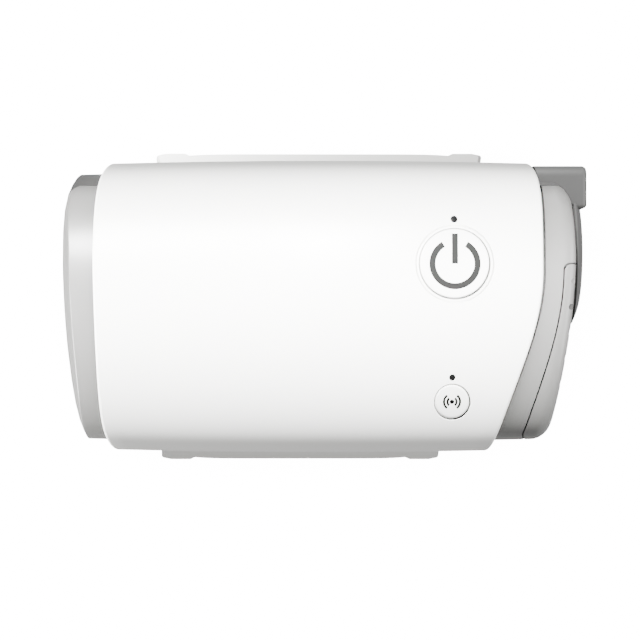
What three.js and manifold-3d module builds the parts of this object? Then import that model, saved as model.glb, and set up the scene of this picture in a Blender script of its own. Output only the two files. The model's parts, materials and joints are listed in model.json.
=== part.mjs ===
// A travel CPAP machine: a small blower in a grey housing, wrapped in a white sleeve.
// Millimetres, +Z up. The origin is on the ground under the middle of the machine.
// +X points to the end with the air outlet, and -Y to the user's side.

import * as THREE from 'three';
import { mergeVertices } from 'three/addons/utils/BufferGeometryUtils.js';
import Module from 'manifold-3d';

const wasm = await Module();
wasm.setup();

// Clearance between pieces that seat on each other, and the overrun of a cut
const GAP = 0.3;
const OVERRUN = 6;

// How finely round forms are divided
const AROUND = 32;
const SMALL = { radius: 3, sides: 8 };
const MIDDLE = { radius: 6.4, sides: 16 };
const LARGE_SIDES = 24;

// The section of the barrel is a rounded oblong, |y/a|^n + |z/b|^n = 1
const SECTION_POWER = 3;
const AXIS_HEIGHT = 28;
const SLEEVE = { halfDepth: 38.2, halfHeight: 24, wall: 2.0 };

// The barrel thins towards its ends by this share at the reach
const BOW = { share: 0.022, reach: 60 };

// The air outlet's axis, where both ends bulge the most
const AIR = { y: 13.8, z: 27.5 };

// The housing's domed ends, whose reaches set the machine's length
const LEFT_END = { reach: 68.3, sweep: 5.6, rise: 4.6, backTurn: 7.3, frontTurn: 3.4, turnPower: 8.5 };
const RIGHT_END = {
  reach: 66.4, fall: 8.2, fallPower: 1.6, rise: 2.8, backTurn: 4, frontTurn: 1.2, turnPower: 6,
};

// What keeps its distance from an end, measured inwards
const FROM_LEFT_END = {
  rim: 9.8, rearScrew: 18.3, baseBack: 22.5, baseFront: 23.9, foot: 30.3, blower: 34, baseScrew: 39.3,
};
const FROM_RIGHT_END = {
  rim: 10.5, doorLine: 5.1, blockInner: 13.9, collarShoulder: 1.2, collarRoot: 9.4, portInner: 15.8,
  pinTip: 5.9, socketFloor: 10.4, socketInner: 13.4, foamOuter: 16.9, foamInner: 28.4,
  board: 19, boardScrew: 21.9, powerPlug: 21.4, powerButton: 33.1, wirelessButton: 33.6,
  baseBack: 22.8, baseFront: 34.6, foot: 42.4, baseScrew: 51.4, rearScrew: 56.4,
};
const BEYOND_RIGHT_END = { block: 1.8, collar: 0.7, port: 0.3 };

const fromLeft = (name) => FROM_LEFT_END[name] - LEFT_END.reach;
const fromRight = (name) => RIGHT_END.reach - FROM_RIGHT_END[name];
const beyondRight = (name) => RIGHT_END.reach + BEYOND_RIGHT_END[name];

// Plan curves of the sleeve's rims. The left one is swept, the right one slants to the front.
const LEFT_RIM = {
  reach: -fromLeft('rim'), sweep: 2.2, sweepPower: 1.4, backTurn: 2.4, frontTurn: 2.2, turnPower: 10,
};
const RIGHT_RIM = {
  reach: fromRight('rim'), slantStart: 9.5, slantSpan: 56.4, slantFall: 12.5,
  backTurn: 2.2, frontTurn: 1.2, turnPower: 9,
};

// The grey housing: the part that shows is set in from the sleeve, and a land under the sleeve carries it
const HOUSING = { inset: 2.7, wall: 1.8, landStart: 4, splitY: 31.1, endFillet: 3.5 };

// The underside of the housing's ceiling, and what keeps its distance under it
const CEILING = AXIS_HEIGHT + SLEEVE.halfHeight - HOUSING.inset - HOUSING.wall;
const UNDER_CEILING = { upperMount: 1.9, cap: 2, shaft: 2.5, motor: 4.5, board: 8.9, blower: 11.5 };
const underCeiling = (name) => CEILING - UNDER_CEILING[name];

// The power inlet's block at the right end of the rear housing
const BLOCK = {
  inner: fromRight('blockInner'), face: beyondRight('block'),
  front: 25.3, back: 35.9, bottom: 15.5, top: 40.6, edge: 1.6,
};
const SOCKET = {
  bore: 3.3, barrel: 4, pinRadius: 0.75,
  inner: fromRight('socketInner'), floor: fromRight('socketFloor'), pinTip: fromRight('pinTip'),
};

// The outlet: a domed collar on the end, and the liner of the port in it
const COLLAR = {
  radius: 18.5, bore: 10.6, rimWidth: 1.8, edge: 0.5,
  face: beyondRight('collar'), shoulder: fromRight('collarShoulder'), root: fromRight('collarRoot'),
  domeShares: [{ drawn: 0.3, risen: 0.45 }, { drawn: 0.62, risen: 0.8 }],
};
const PORT = {
  bore: 8.6, flangeRadius: 11.8, flange: 1.5, face: beyondRight('port'), inner: fromRight('portInner'),
};
const DUCT = { bore: 6.6, wall: 1.6, gapToNozzle: 4.5 };
const SEAL = { length: 2.4 };

// The filter door and the bay behind it
const DOOR = {
  back: 11.1, wall: 1.8, corner: 1.8,
  lineReach: fromRight('doorLine'), slantStart: 10, slantSpan: 62, slantFall: 12.4,
};
const SLOT = {
  width: 1.4, roundness: 0.98, pitch: 6.6, count: 5, first: 6.5, halfHeight: 15.5, overCollarTop: 46.3,
};
const HINGE = {
  turnRadius: 2.8, knuckleRadius: 1.7, pinRadius: 0.6, skin: 1.9, knuckleHeight: 10,
  earHeight: 2.2, earReach: 4.2,
};
const FILTER = { front: -26, back: -9, halfHeight: 11.5, frame: 0.8, border: 2, pad: 1.2, seat: 0.3 };
const WINDOW = { front: -23, back: -12, halfHeight: 8.5 };
const FOAM = {
  left: fromRight('foamInner'), right: fromRight('foamOuter'), front: -27, back: -8, bottom: 13.8, top: 33,
};

// The base: a saddle under the sleeve, with a skirt that shows at the front and back
const BASE = {
  backLeft: -fromLeft('baseBack'), backRight: fromRight('baseBack'),
  frontLeft: -fromLeft('baseFront'), frontRight: fromRight('baseFront'), halfDepth: 42, underside: 1.2,
  skirtTop: 2.9, saddleHalfDepth: 33, saddleTop: 7.4, corner: 2.2, earWidth: 8, earStep: 0.7,
};
const FOOT = {
  width: 7, length: 66, recess: 1, corner: 3.2, leftX: fromLeft('foot'), rightX: fromRight('foot'),
};

// Buttons, their switches and the light pipes
const POWER = {
  x: fromRight('powerButton'), y: 11, radius: 8.8, dishRadius: 10, dishDepth: 0.35, flangeRadius: 9.5,
};
const WIRELESS = {
  x: fromRight('wirelessButton'), y: -24.2, radius: 4.35, dishRadius: 4.8, dishDepth: 0.2, flangeRadius: 5.2,
};
const BUTTON = { proud: 0.45, stemRadius: 2.2, flange: 1.4, travel: 0.4 };
const SWITCH = {
  half: 3, height: 2, bore: 1.5, boreDepth: 1.3, plungerRadius: 1.2, plungerDepth: 0.6, plungerProud: 0.8,
};
const PIPE = { radius: 0.65, behindPower: 11.2, behindWireless: 6.2, sunk: 0.1 };

// Blower, on a vertical axis
const BLOWER = {
  x: fromLeft('blower'), y: -2, bottom: 16.4, top: underCeiling('blower'), wall: 1.6, nozzleLength: 22,
};
const SCROLL = { start: 17.8, end: 24, tongueDegrees: 48, turnDegrees: 318, steps: 22 };
const EYE = { radius: 7.5 };
const IMPELLER = {
  radius: 16, plate: 1.2, bottom: 19.4, bladeHeight: 7.5, bladeThickness: 0.9,
  hubRadius: 4, hubFlare: 2, hubTop: 31,
};
const BLADES = { count: 9, innerRadius: 6.5, sweepDegrees: 46, steps: 3 };
const SHAFT = { radius: 1.5, bottom: 20.2, top: underCeiling('shaft') };
const BEARING = { radius: 4, width: 1.5 };
const MOTOR_OVER_BLOWER = 1;
const MOTOR = {
  bottom: BLOWER.top + MOTOR_OVER_BLOWER, top: underCeiling('motor'),
  rotorRadius: 7.1, statorInner: 7.6, statorOuter: 11.4, teeth: 9, slotWidth: 1.6, slotShare: 0.6,
};
const CAP = { radius: 13.3, wall: 1.4, bottom: BLOWER.top + GAP, top: underCeiling('cap') };
const LOWER_MOUNT = { inner: 12, outer: 15.4, bottom: 10.1 };
const UPPER_MOUNT = { inner: 14, outer: 16.5, top: underCeiling('upperMount') };
const COUPLING = { wall: 1.8, overlap: 3.2 };

// Main board, which starts beyond the duct's coupling, and what stands on it
const BOARD_FROM_COUPLING = 0.6;
const FROM_BOARD_LEFT = { motorPlug: 3.4, screw: 4, sensor: 14, processor: 16, radio: 16, capacitor: 23 };
const BOARD = {
  left: BLOWER.x + BLOWER.nozzleLength + DUCT.gapToNozzle + COUPLING.overlap + BOARD_FROM_COUPLING,
  right: fromRight('board'), front: -28, back: 23.5,
  top: underCeiling('board'), thickness: 1.6, corner: 2,
};
const onBoardAt = (name) => BOARD.left + FROM_BOARD_LEFT[name];
const BOSS = { radius: 2.6, bore: 1, depth: 4.5 };
const BOARD_HOLES = {
  left: onBoardAt('screw'), right: fromRight('boardScrew'), front: -18, rightFront: -13, back: 20,
};
const BOARD_SCREW = { headRadius: 1.9, head: 1.3, shankRadius: 0.7, length: 5 };
const PROCESSOR = { x: onBoardAt('processor'), y: 4, half: 5, height: 1.2 };
const RADIO = { x: onBoardAt('radio'), y: -16, halfLength: 6, halfWidth: 4.5, height: 1.8 };
const MOTOR_PLUG = { x: onBoardAt('motorPlug'), y: -4, halfLength: 2, halfWidth: 4, height: 3 };
const POWER_PLUG = { x: fromRight('powerPlug'), y: 5, halfLength: 2, halfWidth: 3.5, height: 3 };
const CAPACITOR = { x: onBoardAt('capacitor'), y: -7, radius: 2.6, height: 4.5 };
const SENSOR = { x: onBoardAt('sensor'), y: -1, half: 2.5, height: 2.4 };

// Screws that hold the base to the housing, and the two halves of the housing together
const BASE_SCREW = { headRadius: 2.4, head: 1.5, seat: 3.1, shankRadius: 1.1, tip: 9.8 };
const BASE_HOLES = { left: fromLeft('baseScrew'), right: fromRight('baseScrew'), offset: 19.5 };
const BASE_BOSS = { radius: 2.4, top: 11 };
const REAR_SCREW = { headRadius: 1.9, head: 0.9, seat: 32.4, shankRadius: 0.9, tip: 25.4 };
const REAR_HOLES = { left: fromLeft('rearScrew'), right: fromRight('rearScrew'), height: 8 };
const REAR_BOSS = { radius: 2.5, front: 23.9, rib: 1.4 };

// Leads inside the housing
const LEAD = { radius: 0.9, sides: 8, steps: 10, endShare: 0.2, riseShare: 1.6 };

// Colours of the plastics, metals and rubbers
const WHITE = { color: 0xf6f6f3, roughness: 0.42, metalness: 0 };
const LIGHT_GREY = { color: 0xc9c9c5, roughness: 0.5, metalness: 0 };
const DARK_GREY = { color: 0x8a8a87, roughness: 0.5, metalness: 0 };
const CLEAR_DARK = { color: 0x1d1d1d, roughness: 0.25, metalness: 0 };
const BLACK = { color: 0x26272a, roughness: 0.6, metalness: 0 };
const RUBBER = { color: 0x4a4b4c, roughness: 0.85, metalness: 0 };
const SILICONE = { color: 0xb9c4c9, roughness: 0.7, metalness: 0 };
const STEEL = { color: 0xb8bbc0, roughness: 0.3, metalness: 1 };
const COPPER = { color: 0xb0703c, roughness: 0.4, metalness: 0.9 };
const BOARD_GREEN = { color: 0x1f5a3c, roughness: 0.55, metalness: 0 };
const FILTER_WHITE = { color: 0xe9ebea, roughness: 0.95, metalness: 0 };
const FOAM_GREY = { color: 0x5b5e61, roughness: 0.95, metalness: 0 };

// Solids

function signedVolume(position, index) {
  const a = new THREE.Vector3();
  const b = new THREE.Vector3();
  const c = new THREE.Vector3();
  let volume = 0;
  for (let i = 0; i < index.length; i += 3) {
    a.fromBufferAttribute(position, index[i]);
    b.fromBufferAttribute(position, index[i + 1]);
    c.fromBufferAttribute(position, index[i + 2]);
    volume += a.dot(b.cross(c));
  }
  return volume;
}

// A closed geometry as a solid, with its faces turned outwards
function solidOf(geometry) {
  const bare = new THREE.BufferGeometry();
  bare.setAttribute('position', geometry.getAttribute('position'));
  if (geometry.index) bare.setIndex(geometry.index);
  const merged = mergeVertices(bare);
  const position = merged.getAttribute('position');
  const kept = [];
  for (let i = 0; i < merged.index.count; i += 3) {
    const [a, b, c] = [merged.index.getX(i), merged.index.getX(i + 1), merged.index.getX(i + 2)];
    if (a !== b && b !== c && c !== a) kept.push(a, b, c);
  }
  if (signedVolume(position, kept) < 0) kept.reverse();
  return new wasm.Manifold(new wasm.Mesh({
    numProp: 3,
    vertProperties: new Float32Array(position.array),
    triVerts: new Uint32Array(kept),
  }));
}

function geometryOf(solid) {
  const mesh = solid.getMesh();
  const geometry = new THREE.BufferGeometry();
  geometry.setAttribute('position', new THREE.BufferAttribute(new Float32Array(mesh.vertProperties), 3));
  geometry.setIndex(new THREE.BufferAttribute(new Uint32Array(mesh.triVerts), 1));
  geometry.computeVertexNormals();
  return geometry;
}

function joined(...solids) {
  return solids.reduce((whole, next) => whole.add(next));
}

function cut(solid, ...tools) {
  return tools.reduce((rest, tool) => rest.subtract(tool), solid);
}

// The three directions that an outline can be extruded or turned along
const X_UP = new THREE.Vector3(1, 0, 0);
const Y_UP = new THREE.Vector3(0, 1, 0);
const Z_UP = new THREE.Vector3(0, 0, 1);
const EXTRUDED_ALONG = {
  x: new THREE.Matrix4().makeBasis(Y_UP, Z_UP, X_UP),
  y: new THREE.Matrix4().makeBasis(Z_UP, X_UP, Y_UP),
  z: new THREE.Matrix4(),
};
const TURNED_ABOUT = {
  x: new THREE.Matrix4().makeBasis(Y_UP, X_UP, Z_UP.clone().negate()),
  y: new THREE.Matrix4(),
  z: new THREE.Matrix4().makeBasis(X_UP, Z_UP, Y_UP.clone().negate()),
};

// An outline extruded from one place to another along an axis.
// Its two coordinates are y, z along x; z, x along y; and x, y along z.
function prism(axis, shape, from, to, curveSegments = 4) {
  const geometry = new THREE.ExtrudeGeometry(shape, { depth: to - from, bevelEnabled: false, curveSegments });
  geometry.translate(0, 0, from);
  geometry.applyMatrix4(EXTRUDED_ALONG[axis]);
  return solidOf(geometry);
}

function sidesFor(radius) {
  if (radius < SMALL.radius) return SMALL.sides;
  return radius < MIDDLE.radius ? MIDDLE.sides : LARGE_SIDES;
}

// A profile of [radius, place] points turned about an axis through a centre
function turned(axis, profile, centre) {
  const sides = sidesFor(Math.max(...profile.map(([radius]) => radius)));
  const points = profile.map(([radius, place]) => new THREE.Vector2(radius, place));
  const geometry = new THREE.LatheGeometry(points, sides);
  geometry.applyMatrix4(TURNED_ABOUT[axis]);
  geometry.translate(...centre);
  return solidOf(geometry);
}

function rod(axis, radius, from, to, centre) {
  return turned(axis, [[0, from], [radius, from], [radius, to], [0, to]], centre);
}

function pipe(axis, inner, outer, from, to, centre) {
  const profile = [[inner, from], [outer, from], [outer, to], [inner, to], [inner, from]];
  return turned(axis, profile, centre);
}

function box(x0, x1, y0, y1, z0, z1) {
  const geometry = new THREE.BoxGeometry(x1 - x0, y1 - y0, z1 - z0);
  geometry.translate((x0 + x1) / 2, (y0 + y1) / 2, (z0 + z1) / 2);
  return solidOf(geometry);
}

function roundedRectangle(x0, x1, y0, y1, radius) {
  const shape = new THREE.Shape();
  shape.moveTo(x0 + radius, y0);
  shape.lineTo(x1 - radius, y0);
  shape.absarc(x1 - radius, y0 + radius, radius, -Math.PI / 2, 0);
  shape.lineTo(x1, y1 - radius);
  shape.absarc(x1 - radius, y1 - radius, radius, 0, Math.PI / 2);
  shape.lineTo(x0 + radius, y1);
  shape.absarc(x0 + radius, y1 - radius, radius, Math.PI / 2, Math.PI);
  shape.lineTo(x0, y0 + radius);
  shape.absarc(x0 + radius, y0 + radius, radius, Math.PI, Math.PI * 1.5);
  return shape;
}

// Parts, each a named mesh in the group

const machine = new THREE.Group();

function addPart(name, solid, finish) {
  const mesh = new THREE.Mesh(geometryOf(solid), new THREE.MeshStandardMaterial(finish));
  mesh.name = name;
  machine.add(mesh);
}

// The barrel's form: rings of points around the section, lofted along X

const wide = (value) => Math.sign(value) * Math.abs(value) ** (2 / SECTION_POWER);
const bowAt = (x) => 1 - BOW.share * (x / BOW.reach) ** 2;

// One ring of the section. placeAt gives x from the place in the section.
function ring(halfDepth, halfHeight, placeAt) {
  const points = [];
  for (let i = 0; i < AROUND; i += 1) {
    const angle = (i / AROUND) * Math.PI * 2;
    const y = halfDepth * wide(Math.cos(angle));
    const z = halfHeight * wide(Math.sin(angle));
    const x = placeAt(y, z);
    points.push(new THREE.Vector3(x, y * bowAt(x), AXIS_HEIGHT + z * bowAt(x)));
  }
  return points;
}

// A solid through rings, closed by a fan at each end, or joined last ring to first
function loft(rings, isTube = false) {
  const count = rings[0].length;
  const points = rings.flat();
  const faces = [];
  const spans = isTube ? rings.length : rings.length - 1;
  for (let i = 0; i < spans; i += 1) {
    const near = i * count;
    const far = ((i + 1) % rings.length) * count;
    for (let j = 0; j < count; j += 1) {
      const next = (j + 1) % count;
      faces.push(near + j, near + next, far + j, near + next, far + next, far + j);
    }
  }
  if (!isTube) {
    const last = (rings.length - 1) * count;
    const ends = [rings[0], rings[rings.length - 1]].map((points3) => points3
      .reduce((sum, point) => sum.add(point), new THREE.Vector3()).divideScalar(count));
    points.push(...ends);
    const [start, finish] = [points.length - 2, points.length - 1];
    for (let j = 0; j < count; j += 1) {
      const next = (j + 1) % count;
      faces.push(start, next, j, finish, last + j, last + next);
    }
  }
  const geometry = new THREE.BufferGeometry();
  const numbers = points.flatMap((point) => point.toArray());
  geometry.setAttribute('position', new THREE.Float32BufferAttribute(numbers, 3));
  geometry.setIndex(faces);
  return solidOf(geometry);
}

// How far a rim has turned in at its corners, and how far it has slanted
const sideShare = (y) => Math.min(Math.abs(y) / SLEEVE.halfDepth, 1);
const crestShare = (y) => Math.abs(y - AIR.y) / (SLEEVE.halfDepth + AIR.y);
function turnIn(y, { backTurn, frontTurn = 0, turnPower }) {
  return (y > 0 ? backTurn : frontTurn) * sideShare(y) ** turnPower;
}

function slant(y, { slantStart, slantSpan, slantFall }) {
  const share = THREE.MathUtils.clamp((slantStart - y) / slantSpan, 0, 1);
  return slantFall * (1 - Math.cos(Math.PI * share)) / 2;
}

const leftRim = (y) => -LEFT_RIM.reach
  + LEFT_RIM.sweep * crestShare(y) ** LEFT_RIM.sweepPower + turnIn(y, LEFT_RIM);
const rightRim = (y) => RIGHT_RIM.reach - slant(y, RIGHT_RIM) - turnIn(y, RIGHT_RIM);
const doorLine = (y) => DOOR.lineReach - slant(y, DOOR);

// The housing's domed ends, from the place in the section
const riseShare = (z) => (z / SLEEVE.halfHeight) ** 2;
const leftEnd = (y, z) => -LEFT_END.reach + LEFT_END.sweep * crestShare(y) ** 2
  + LEFT_END.rise * riseShare(z) + turnIn(y, LEFT_END);
const rightEnd = (y, z) => RIGHT_END.reach - RIGHT_END.fall * crestShare(y) ** RIGHT_END.fallPower
  - RIGHT_END.rise * riseShare(z) - turnIn(y, RIGHT_END);

// The housing's whole outer form, drawn in all over by an inset
const DOME_SHARES = [0.5, 0.85];
const OUTSIDE_RINGS = { barrelShares: [0.05, 0.5], filletSteps: 2 };
const INSIDE_RINGS = { barrelShares: [0.5], filletSteps: 1 };

function housingForm(inset) {
  const { barrelShares, filletSteps } = inset > GAP ? INSIDE_RINGS : OUTSIDE_RINGS;
  const halfDepth = SLEEVE.halfDepth - HOUSING.inset - inset;
  const halfHeight = SLEEVE.halfHeight - HOUSING.inset - inset;
  const fillet = HOUSING.endFillet - inset / 2;
  const startAt = (y, z) => leftEnd(y, z) + inset;
  const finishAt = (y, z) => rightEnd(y, z) - inset;
  const rings = DOME_SHARES.map((share) => ring(halfDepth * share, halfHeight * share, startAt));
  rings.push(ring(halfDepth, halfHeight, startAt));
  for (const share of barrelShares) {
    rings.push(ring(halfDepth, halfHeight, (y, z) => {
      const from = startAt(y, z);
      return from + (finishAt(y, z) - fillet - from) * share;
    }));
  }
  for (let i = 0; i <= filletSteps; i += 1) {
    const angle = (i / filletSteps) * Math.PI / 2;
    const drawn = fillet * (1 - Math.cos(angle));
    const back = fillet * (1 - Math.sin(angle));
    rings.push(ring(halfDepth - drawn, halfHeight - drawn, (y, z) => finishAt(y, z) - back));
  }
  for (const share of DOME_SHARES.toReversed()) {
    rings.push(ring((halfDepth - fillet) * share, (halfHeight - fillet) * share, finishAt));
  }
  return loft(rings);
}

// A plain barrel between the rims, drawn in by an inset and set back from the rims at both ends
const SLEEVE_RING_SHARES = [0, 0.5, 1];

function barrelRings(inset, setBack) {
  return SLEEVE_RING_SHARES.map((share) => ring(
    SLEEVE.halfDepth - inset,
    SLEEVE.halfHeight - inset,
    (y) => THREE.MathUtils.lerp(leftRim(y) + setBack, rightRim(y) - setBack, share),
  ));
}

function barrel(inset, setBack = 0) {
  return loft(barrelRings(inset, setBack));
}

// Heights of the sleeve's top and of the housing's ceiling and floor, at a place in the plan
function sectionHeight(x, y, inset) {
  const share = Math.abs(y) / ((SLEEVE.halfDepth - inset) * bowAt(x));
  return (SLEEVE.halfHeight - inset) * bowAt(x) * (1 - share ** SECTION_POWER) ** (1 / SECTION_POWER);
}

const CAVITY_INSET = HOUSING.inset + HOUSING.wall;
const LAND_INSET = SLEEVE.wall + GAP;

// Outer sleeve

const powerCentre = [POWER.x, POWER.y, 0];
const wirelessCentre = [WIRELESS.x, WIRELESS.y, 0];
const pipeCentres = [
  [POWER.x, POWER.y + PIPE.behindPower, 0],
  [WIRELESS.x, WIRELESS.y + PIPE.behindWireless, 0],
];
const SKY = SLEEVE.halfHeight + AXIS_HEIGHT + OVERRUN;
const baseHoles = [];
for (const x of [BASE_HOLES.left, BASE_HOLES.right]) {
  for (const y of [-BASE_HOLES.offset, BASE_HOLES.offset]) baseHoles.push([x, y, 0]);
}

// A dish that follows the sleeve's surface round a button
function dish(button) {
  const collar = rod('z', button.dishRadius, AXIS_HEIGHT, SKY, [button.x, button.y, 0]);
  return cut(collar, barrel(button.dishDepth));
}

function outerSleeve() {
  const outside = barrelRings(0, 0);
  const inside = barrelRings(SLEEVE.wall, 0).reverse();
  const shell = loft([...outside, ...inside], true);
  return cut(
    shell,
    dish(POWER),
    dish(WIRELESS),
    rod('z', POWER.radius + GAP, AXIS_HEIGHT, SKY, powerCentre),
    rod('z', WIRELESS.radius + GAP, AXIS_HEIGHT, SKY, wirelessCentre),
    ...pipeCentres.map((centre) => rod('z', PIPE.radius + GAP, AXIS_HEIGHT, SKY, centre)),
    ...baseHoles.map((centre) => rod('z', BASE_SCREW.shankRadius + GAP, 0, AXIS_HEIGHT, centre)),
  );
}
addPart('outer_sleeve', outerSleeve(), WHITE);

// Base plate, with an ear at each corner and a saddle that hugs the sleeve's underside

function baseOutline() {
  const { backLeft, backRight, frontLeft, frontRight, halfDepth, corner, earWidth, earStep } = BASE;
  const shape = new THREE.Shape();
  shape.moveTo(-frontLeft + corner, -halfDepth);
  shape.lineTo(-frontLeft + earWidth, -halfDepth);
  shape.lineTo(-frontLeft + earWidth + earStep, -halfDepth + earStep);
  shape.quadraticCurveTo(
    (frontRight - frontLeft) / 2, -halfDepth - earStep,
    frontRight - earWidth - earStep, -halfDepth + earStep,
  );
  shape.lineTo(frontRight - earWidth, -halfDepth);
  shape.lineTo(frontRight - corner, -halfDepth);
  shape.quadraticCurveTo(frontRight, -halfDepth, frontRight + corner / 4, -halfDepth + corner);
  shape.lineTo(backRight - corner / 4, halfDepth - corner);
  shape.quadraticCurveTo(backRight, halfDepth, backRight - corner, halfDepth);
  shape.lineTo(backRight - earWidth, halfDepth);
  shape.lineTo(backRight - earWidth - earStep, halfDepth - earStep);
  shape.quadraticCurveTo(
    (backRight - backLeft) / 2, halfDepth + earStep,
    -backLeft + earWidth + earStep, halfDepth - earStep,
  );
  shape.lineTo(-backLeft + earWidth, halfDepth);
  shape.lineTo(-backLeft + corner, halfDepth);
  shape.quadraticCurveTo(-backLeft, halfDepth, -backLeft, halfDepth - corner);
  shape.lineTo(-frontLeft, -halfDepth + corner);
  shape.quadraticCurveTo(-frontLeft, -halfDepth, -frontLeft + corner, -halfDepth);
  return shape;
}

// The base seen from its end: a skirt at both sides and a raised middle
function baseSection() {
  const { halfDepth, underside, skirtTop, saddleHalfDepth, saddleTop } = BASE;
  const shape = new THREE.Shape();
  shape.moveTo(-halfDepth - OVERRUN, underside);
  shape.lineTo(halfDepth + OVERRUN, underside);
  shape.lineTo(halfDepth + OVERRUN, skirtTop);
  shape.lineTo(halfDepth, skirtTop);
  shape.lineTo(saddleHalfDepth, saddleTop);
  shape.lineTo(-saddleHalfDepth, saddleTop);
  shape.lineTo(-halfDepth, skirtTop);
  shape.lineTo(-halfDepth - OVERRUN, skirtTop);
  return shape;
}

const footShape = (x, grow) => roundedRectangle(
  x - FOOT.width / 2 - grow, x + FOOT.width / 2 + grow,
  -FOOT.length / 2 - grow, FOOT.length / 2 + grow,
  FOOT.corner,
);
const feet = { foot_left: FOOT.leftX, foot_right: FOOT.rightX };

function basePlate() {
  const plan = prism('z', baseOutline(), 0, AXIS_HEIGHT);
  const section = prism('x', baseSection(), -BASE.backLeft - OVERRUN, BASE.backRight + OVERRUN);
  const seat = barrel(-GAP, -OVERRUN);
  return cut(
    plan.intersect(section),
    seat,
    ...Object.values(feet).map((x) => prism('z', footShape(x, GAP), 0, BASE.underside + FOOT.recess)),
    ...baseHoles.map((centre) => rod('z', BASE_SCREW.shankRadius + GAP, 0, AXIS_HEIGHT, centre)),
    ...baseHoles.map((centre) => rod('z', BASE_SCREW.headRadius + GAP, 0, BASE_SCREW.seat, centre)),
  );
}
addPart('base_plate', basePlate(), WHITE);

for (const [name, x] of Object.entries(feet)) {
  addPart(name, prism('z', footShape(x, 0), 0, BASE.underside + FOOT.recess - GAP), RUBBER);
}

// A screw with a flat head, turned about an axis
function screw(axis, { headRadius, head, shankRadius }, seat, tip, centre) {
  const away = Math.sign(seat - tip);
  const top = seat + away * head;
  const profile = [
    [0, tip], [shankRadius, tip + away * shankRadius], [shankRadius, seat],
    [headRadius, seat], [headRadius - head / 4, top], [0, top],
  ];
  return turned(axis, profile, centre);
}

baseHoles.forEach((centre, index) => {
  const seat = BASE_SCREW.seat - GAP;
  addPart(`base_screw_${index + 1}`, screw('z', BASE_SCREW, seat, BASE_SCREW.tip, centre), STEEL);
});

// The filter door's plan: right of the door line, with the front corner rolled round the hinge pin

const hingeY = -(SLEEVE.halfDepth - HOUSING.inset) * bowAt(DOOR.lineReach) + HINGE.skin;
const hingeX = doorLine(hingeY) + HINGE.turnRadius;
const hingeCentre = [hingeX, hingeY, 0];
const DOOR_LINE_STEPS = 11;
const FAR_X = BLOCK.face + OVERRUN;

function doorPlan(grow) {
  const radius = HINGE.turnRadius + grow;
  const { back, corner } = DOOR;
  const shape = new THREE.Shape();
  shape.moveTo(hingeX, -SLEEVE.halfDepth - OVERRUN);
  shape.lineTo(FAR_X, -SLEEVE.halfDepth - OVERRUN);
  shape.lineTo(FAR_X, back + grow);
  shape.lineTo(doorLine(back) + corner - grow, back + grow);
  shape.quadraticCurveTo(doorLine(back) - grow, back + grow, doorLine(back) - grow, back - corner);
  for (let i = 1; i <= DOOR_LINE_STEPS; i += 1) {
    const y = THREE.MathUtils.lerp(back - corner, hingeY, i / DOOR_LINE_STEPS);
    shape.lineTo(doorLine(y) - grow, y);
  }
  shape.absarc(hingeX, hingeY, radius, Math.PI, Math.PI * 1.5);
  return shape;
}

const outletCentre = [0, AIR.y, AIR.z];
const collarSpace = rod('x', COLLAR.radius + GAP, 0, FAR_X, outletCentre);

// Space right of the door line, without the boss that carries the outlet
const doorSpace = (grow) => prism('z', doorPlan(grow), 0, SKY);
const baySpace = (grow) => cut(doorSpace(grow), collarSpace);

// Ears of the housing that hold the hinge pin, above and below the door's knuckle
const knuckle = { bottom: AXIS_HEIGHT - HINGE.knuckleHeight / 2, top: AXIS_HEIGHT + HINGE.knuckleHeight / 2 };
const ears = [
  { bottom: knuckle.bottom - GAP - HINGE.earHeight, top: knuckle.bottom - GAP },
  { bottom: knuckle.top + GAP, top: knuckle.top + GAP + HINGE.earHeight },
];

// The pin goes in from below and ends inside the upper ear
const pinTop = ears[1].top - HINGE.earHeight / 4 - GAP;

function ear({ bottom, top }, grow) {
  const radius = HINGE.knuckleRadius + grow;
  const shape = new THREE.Shape();
  shape.moveTo(hingeX - HINGE.earReach, hingeY - radius);
  shape.lineTo(hingeX, hingeY - radius);
  shape.absarc(hingeX, hingeY, radius, -Math.PI / 2, Math.PI / 2);
  shape.lineTo(hingeX - HINGE.earReach, hingeY + radius);
  return prism('z', shape, bottom - grow, top + grow);
}

function filterDoor() {
  const shell = cut(housingForm(0), housingForm(DOOR.wall));
  const pinBore = HINGE.pinRadius + GAP;
  const knuckleBarrel = rod('z', HINGE.knuckleRadius, knuckle.bottom, knuckle.top, hingeCentre)
    .intersect(housingForm(0));
  const slots = [];
  for (let i = 0; i < SLOT.count; i += 1) {
    const y = SLOT.first - i * SLOT.pitch;
    const overCollar = y > AIR.y - COLLAR.radius;
    const top = overCollar ? SLOT.overCollarTop : AXIS_HEIGHT + SLOT.halfHeight;
    const half = SLOT.width / 2;
    const outline = roundedRectangle(
      y - half, y + half, AXIS_HEIGHT - SLOT.halfHeight, top, half * SLOT.roundness,
    );
    slots.push(prism('x', outline, rightEnd(y, 0) - HOUSING.endFillet, FAR_X, 1));
  }
  const panel = shell.intersect(baySpace(-GAP / 2));
  return cut(
    joined(panel, knuckleBarrel),
    rod('z', pinBore, 0, ears[1].bottom, hingeCentre),
    ...ears.map((span) => ear(span, GAP)),
    ...slots,
  );
}

// Front and rear housing: one shelled form, split behind the middle

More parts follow.
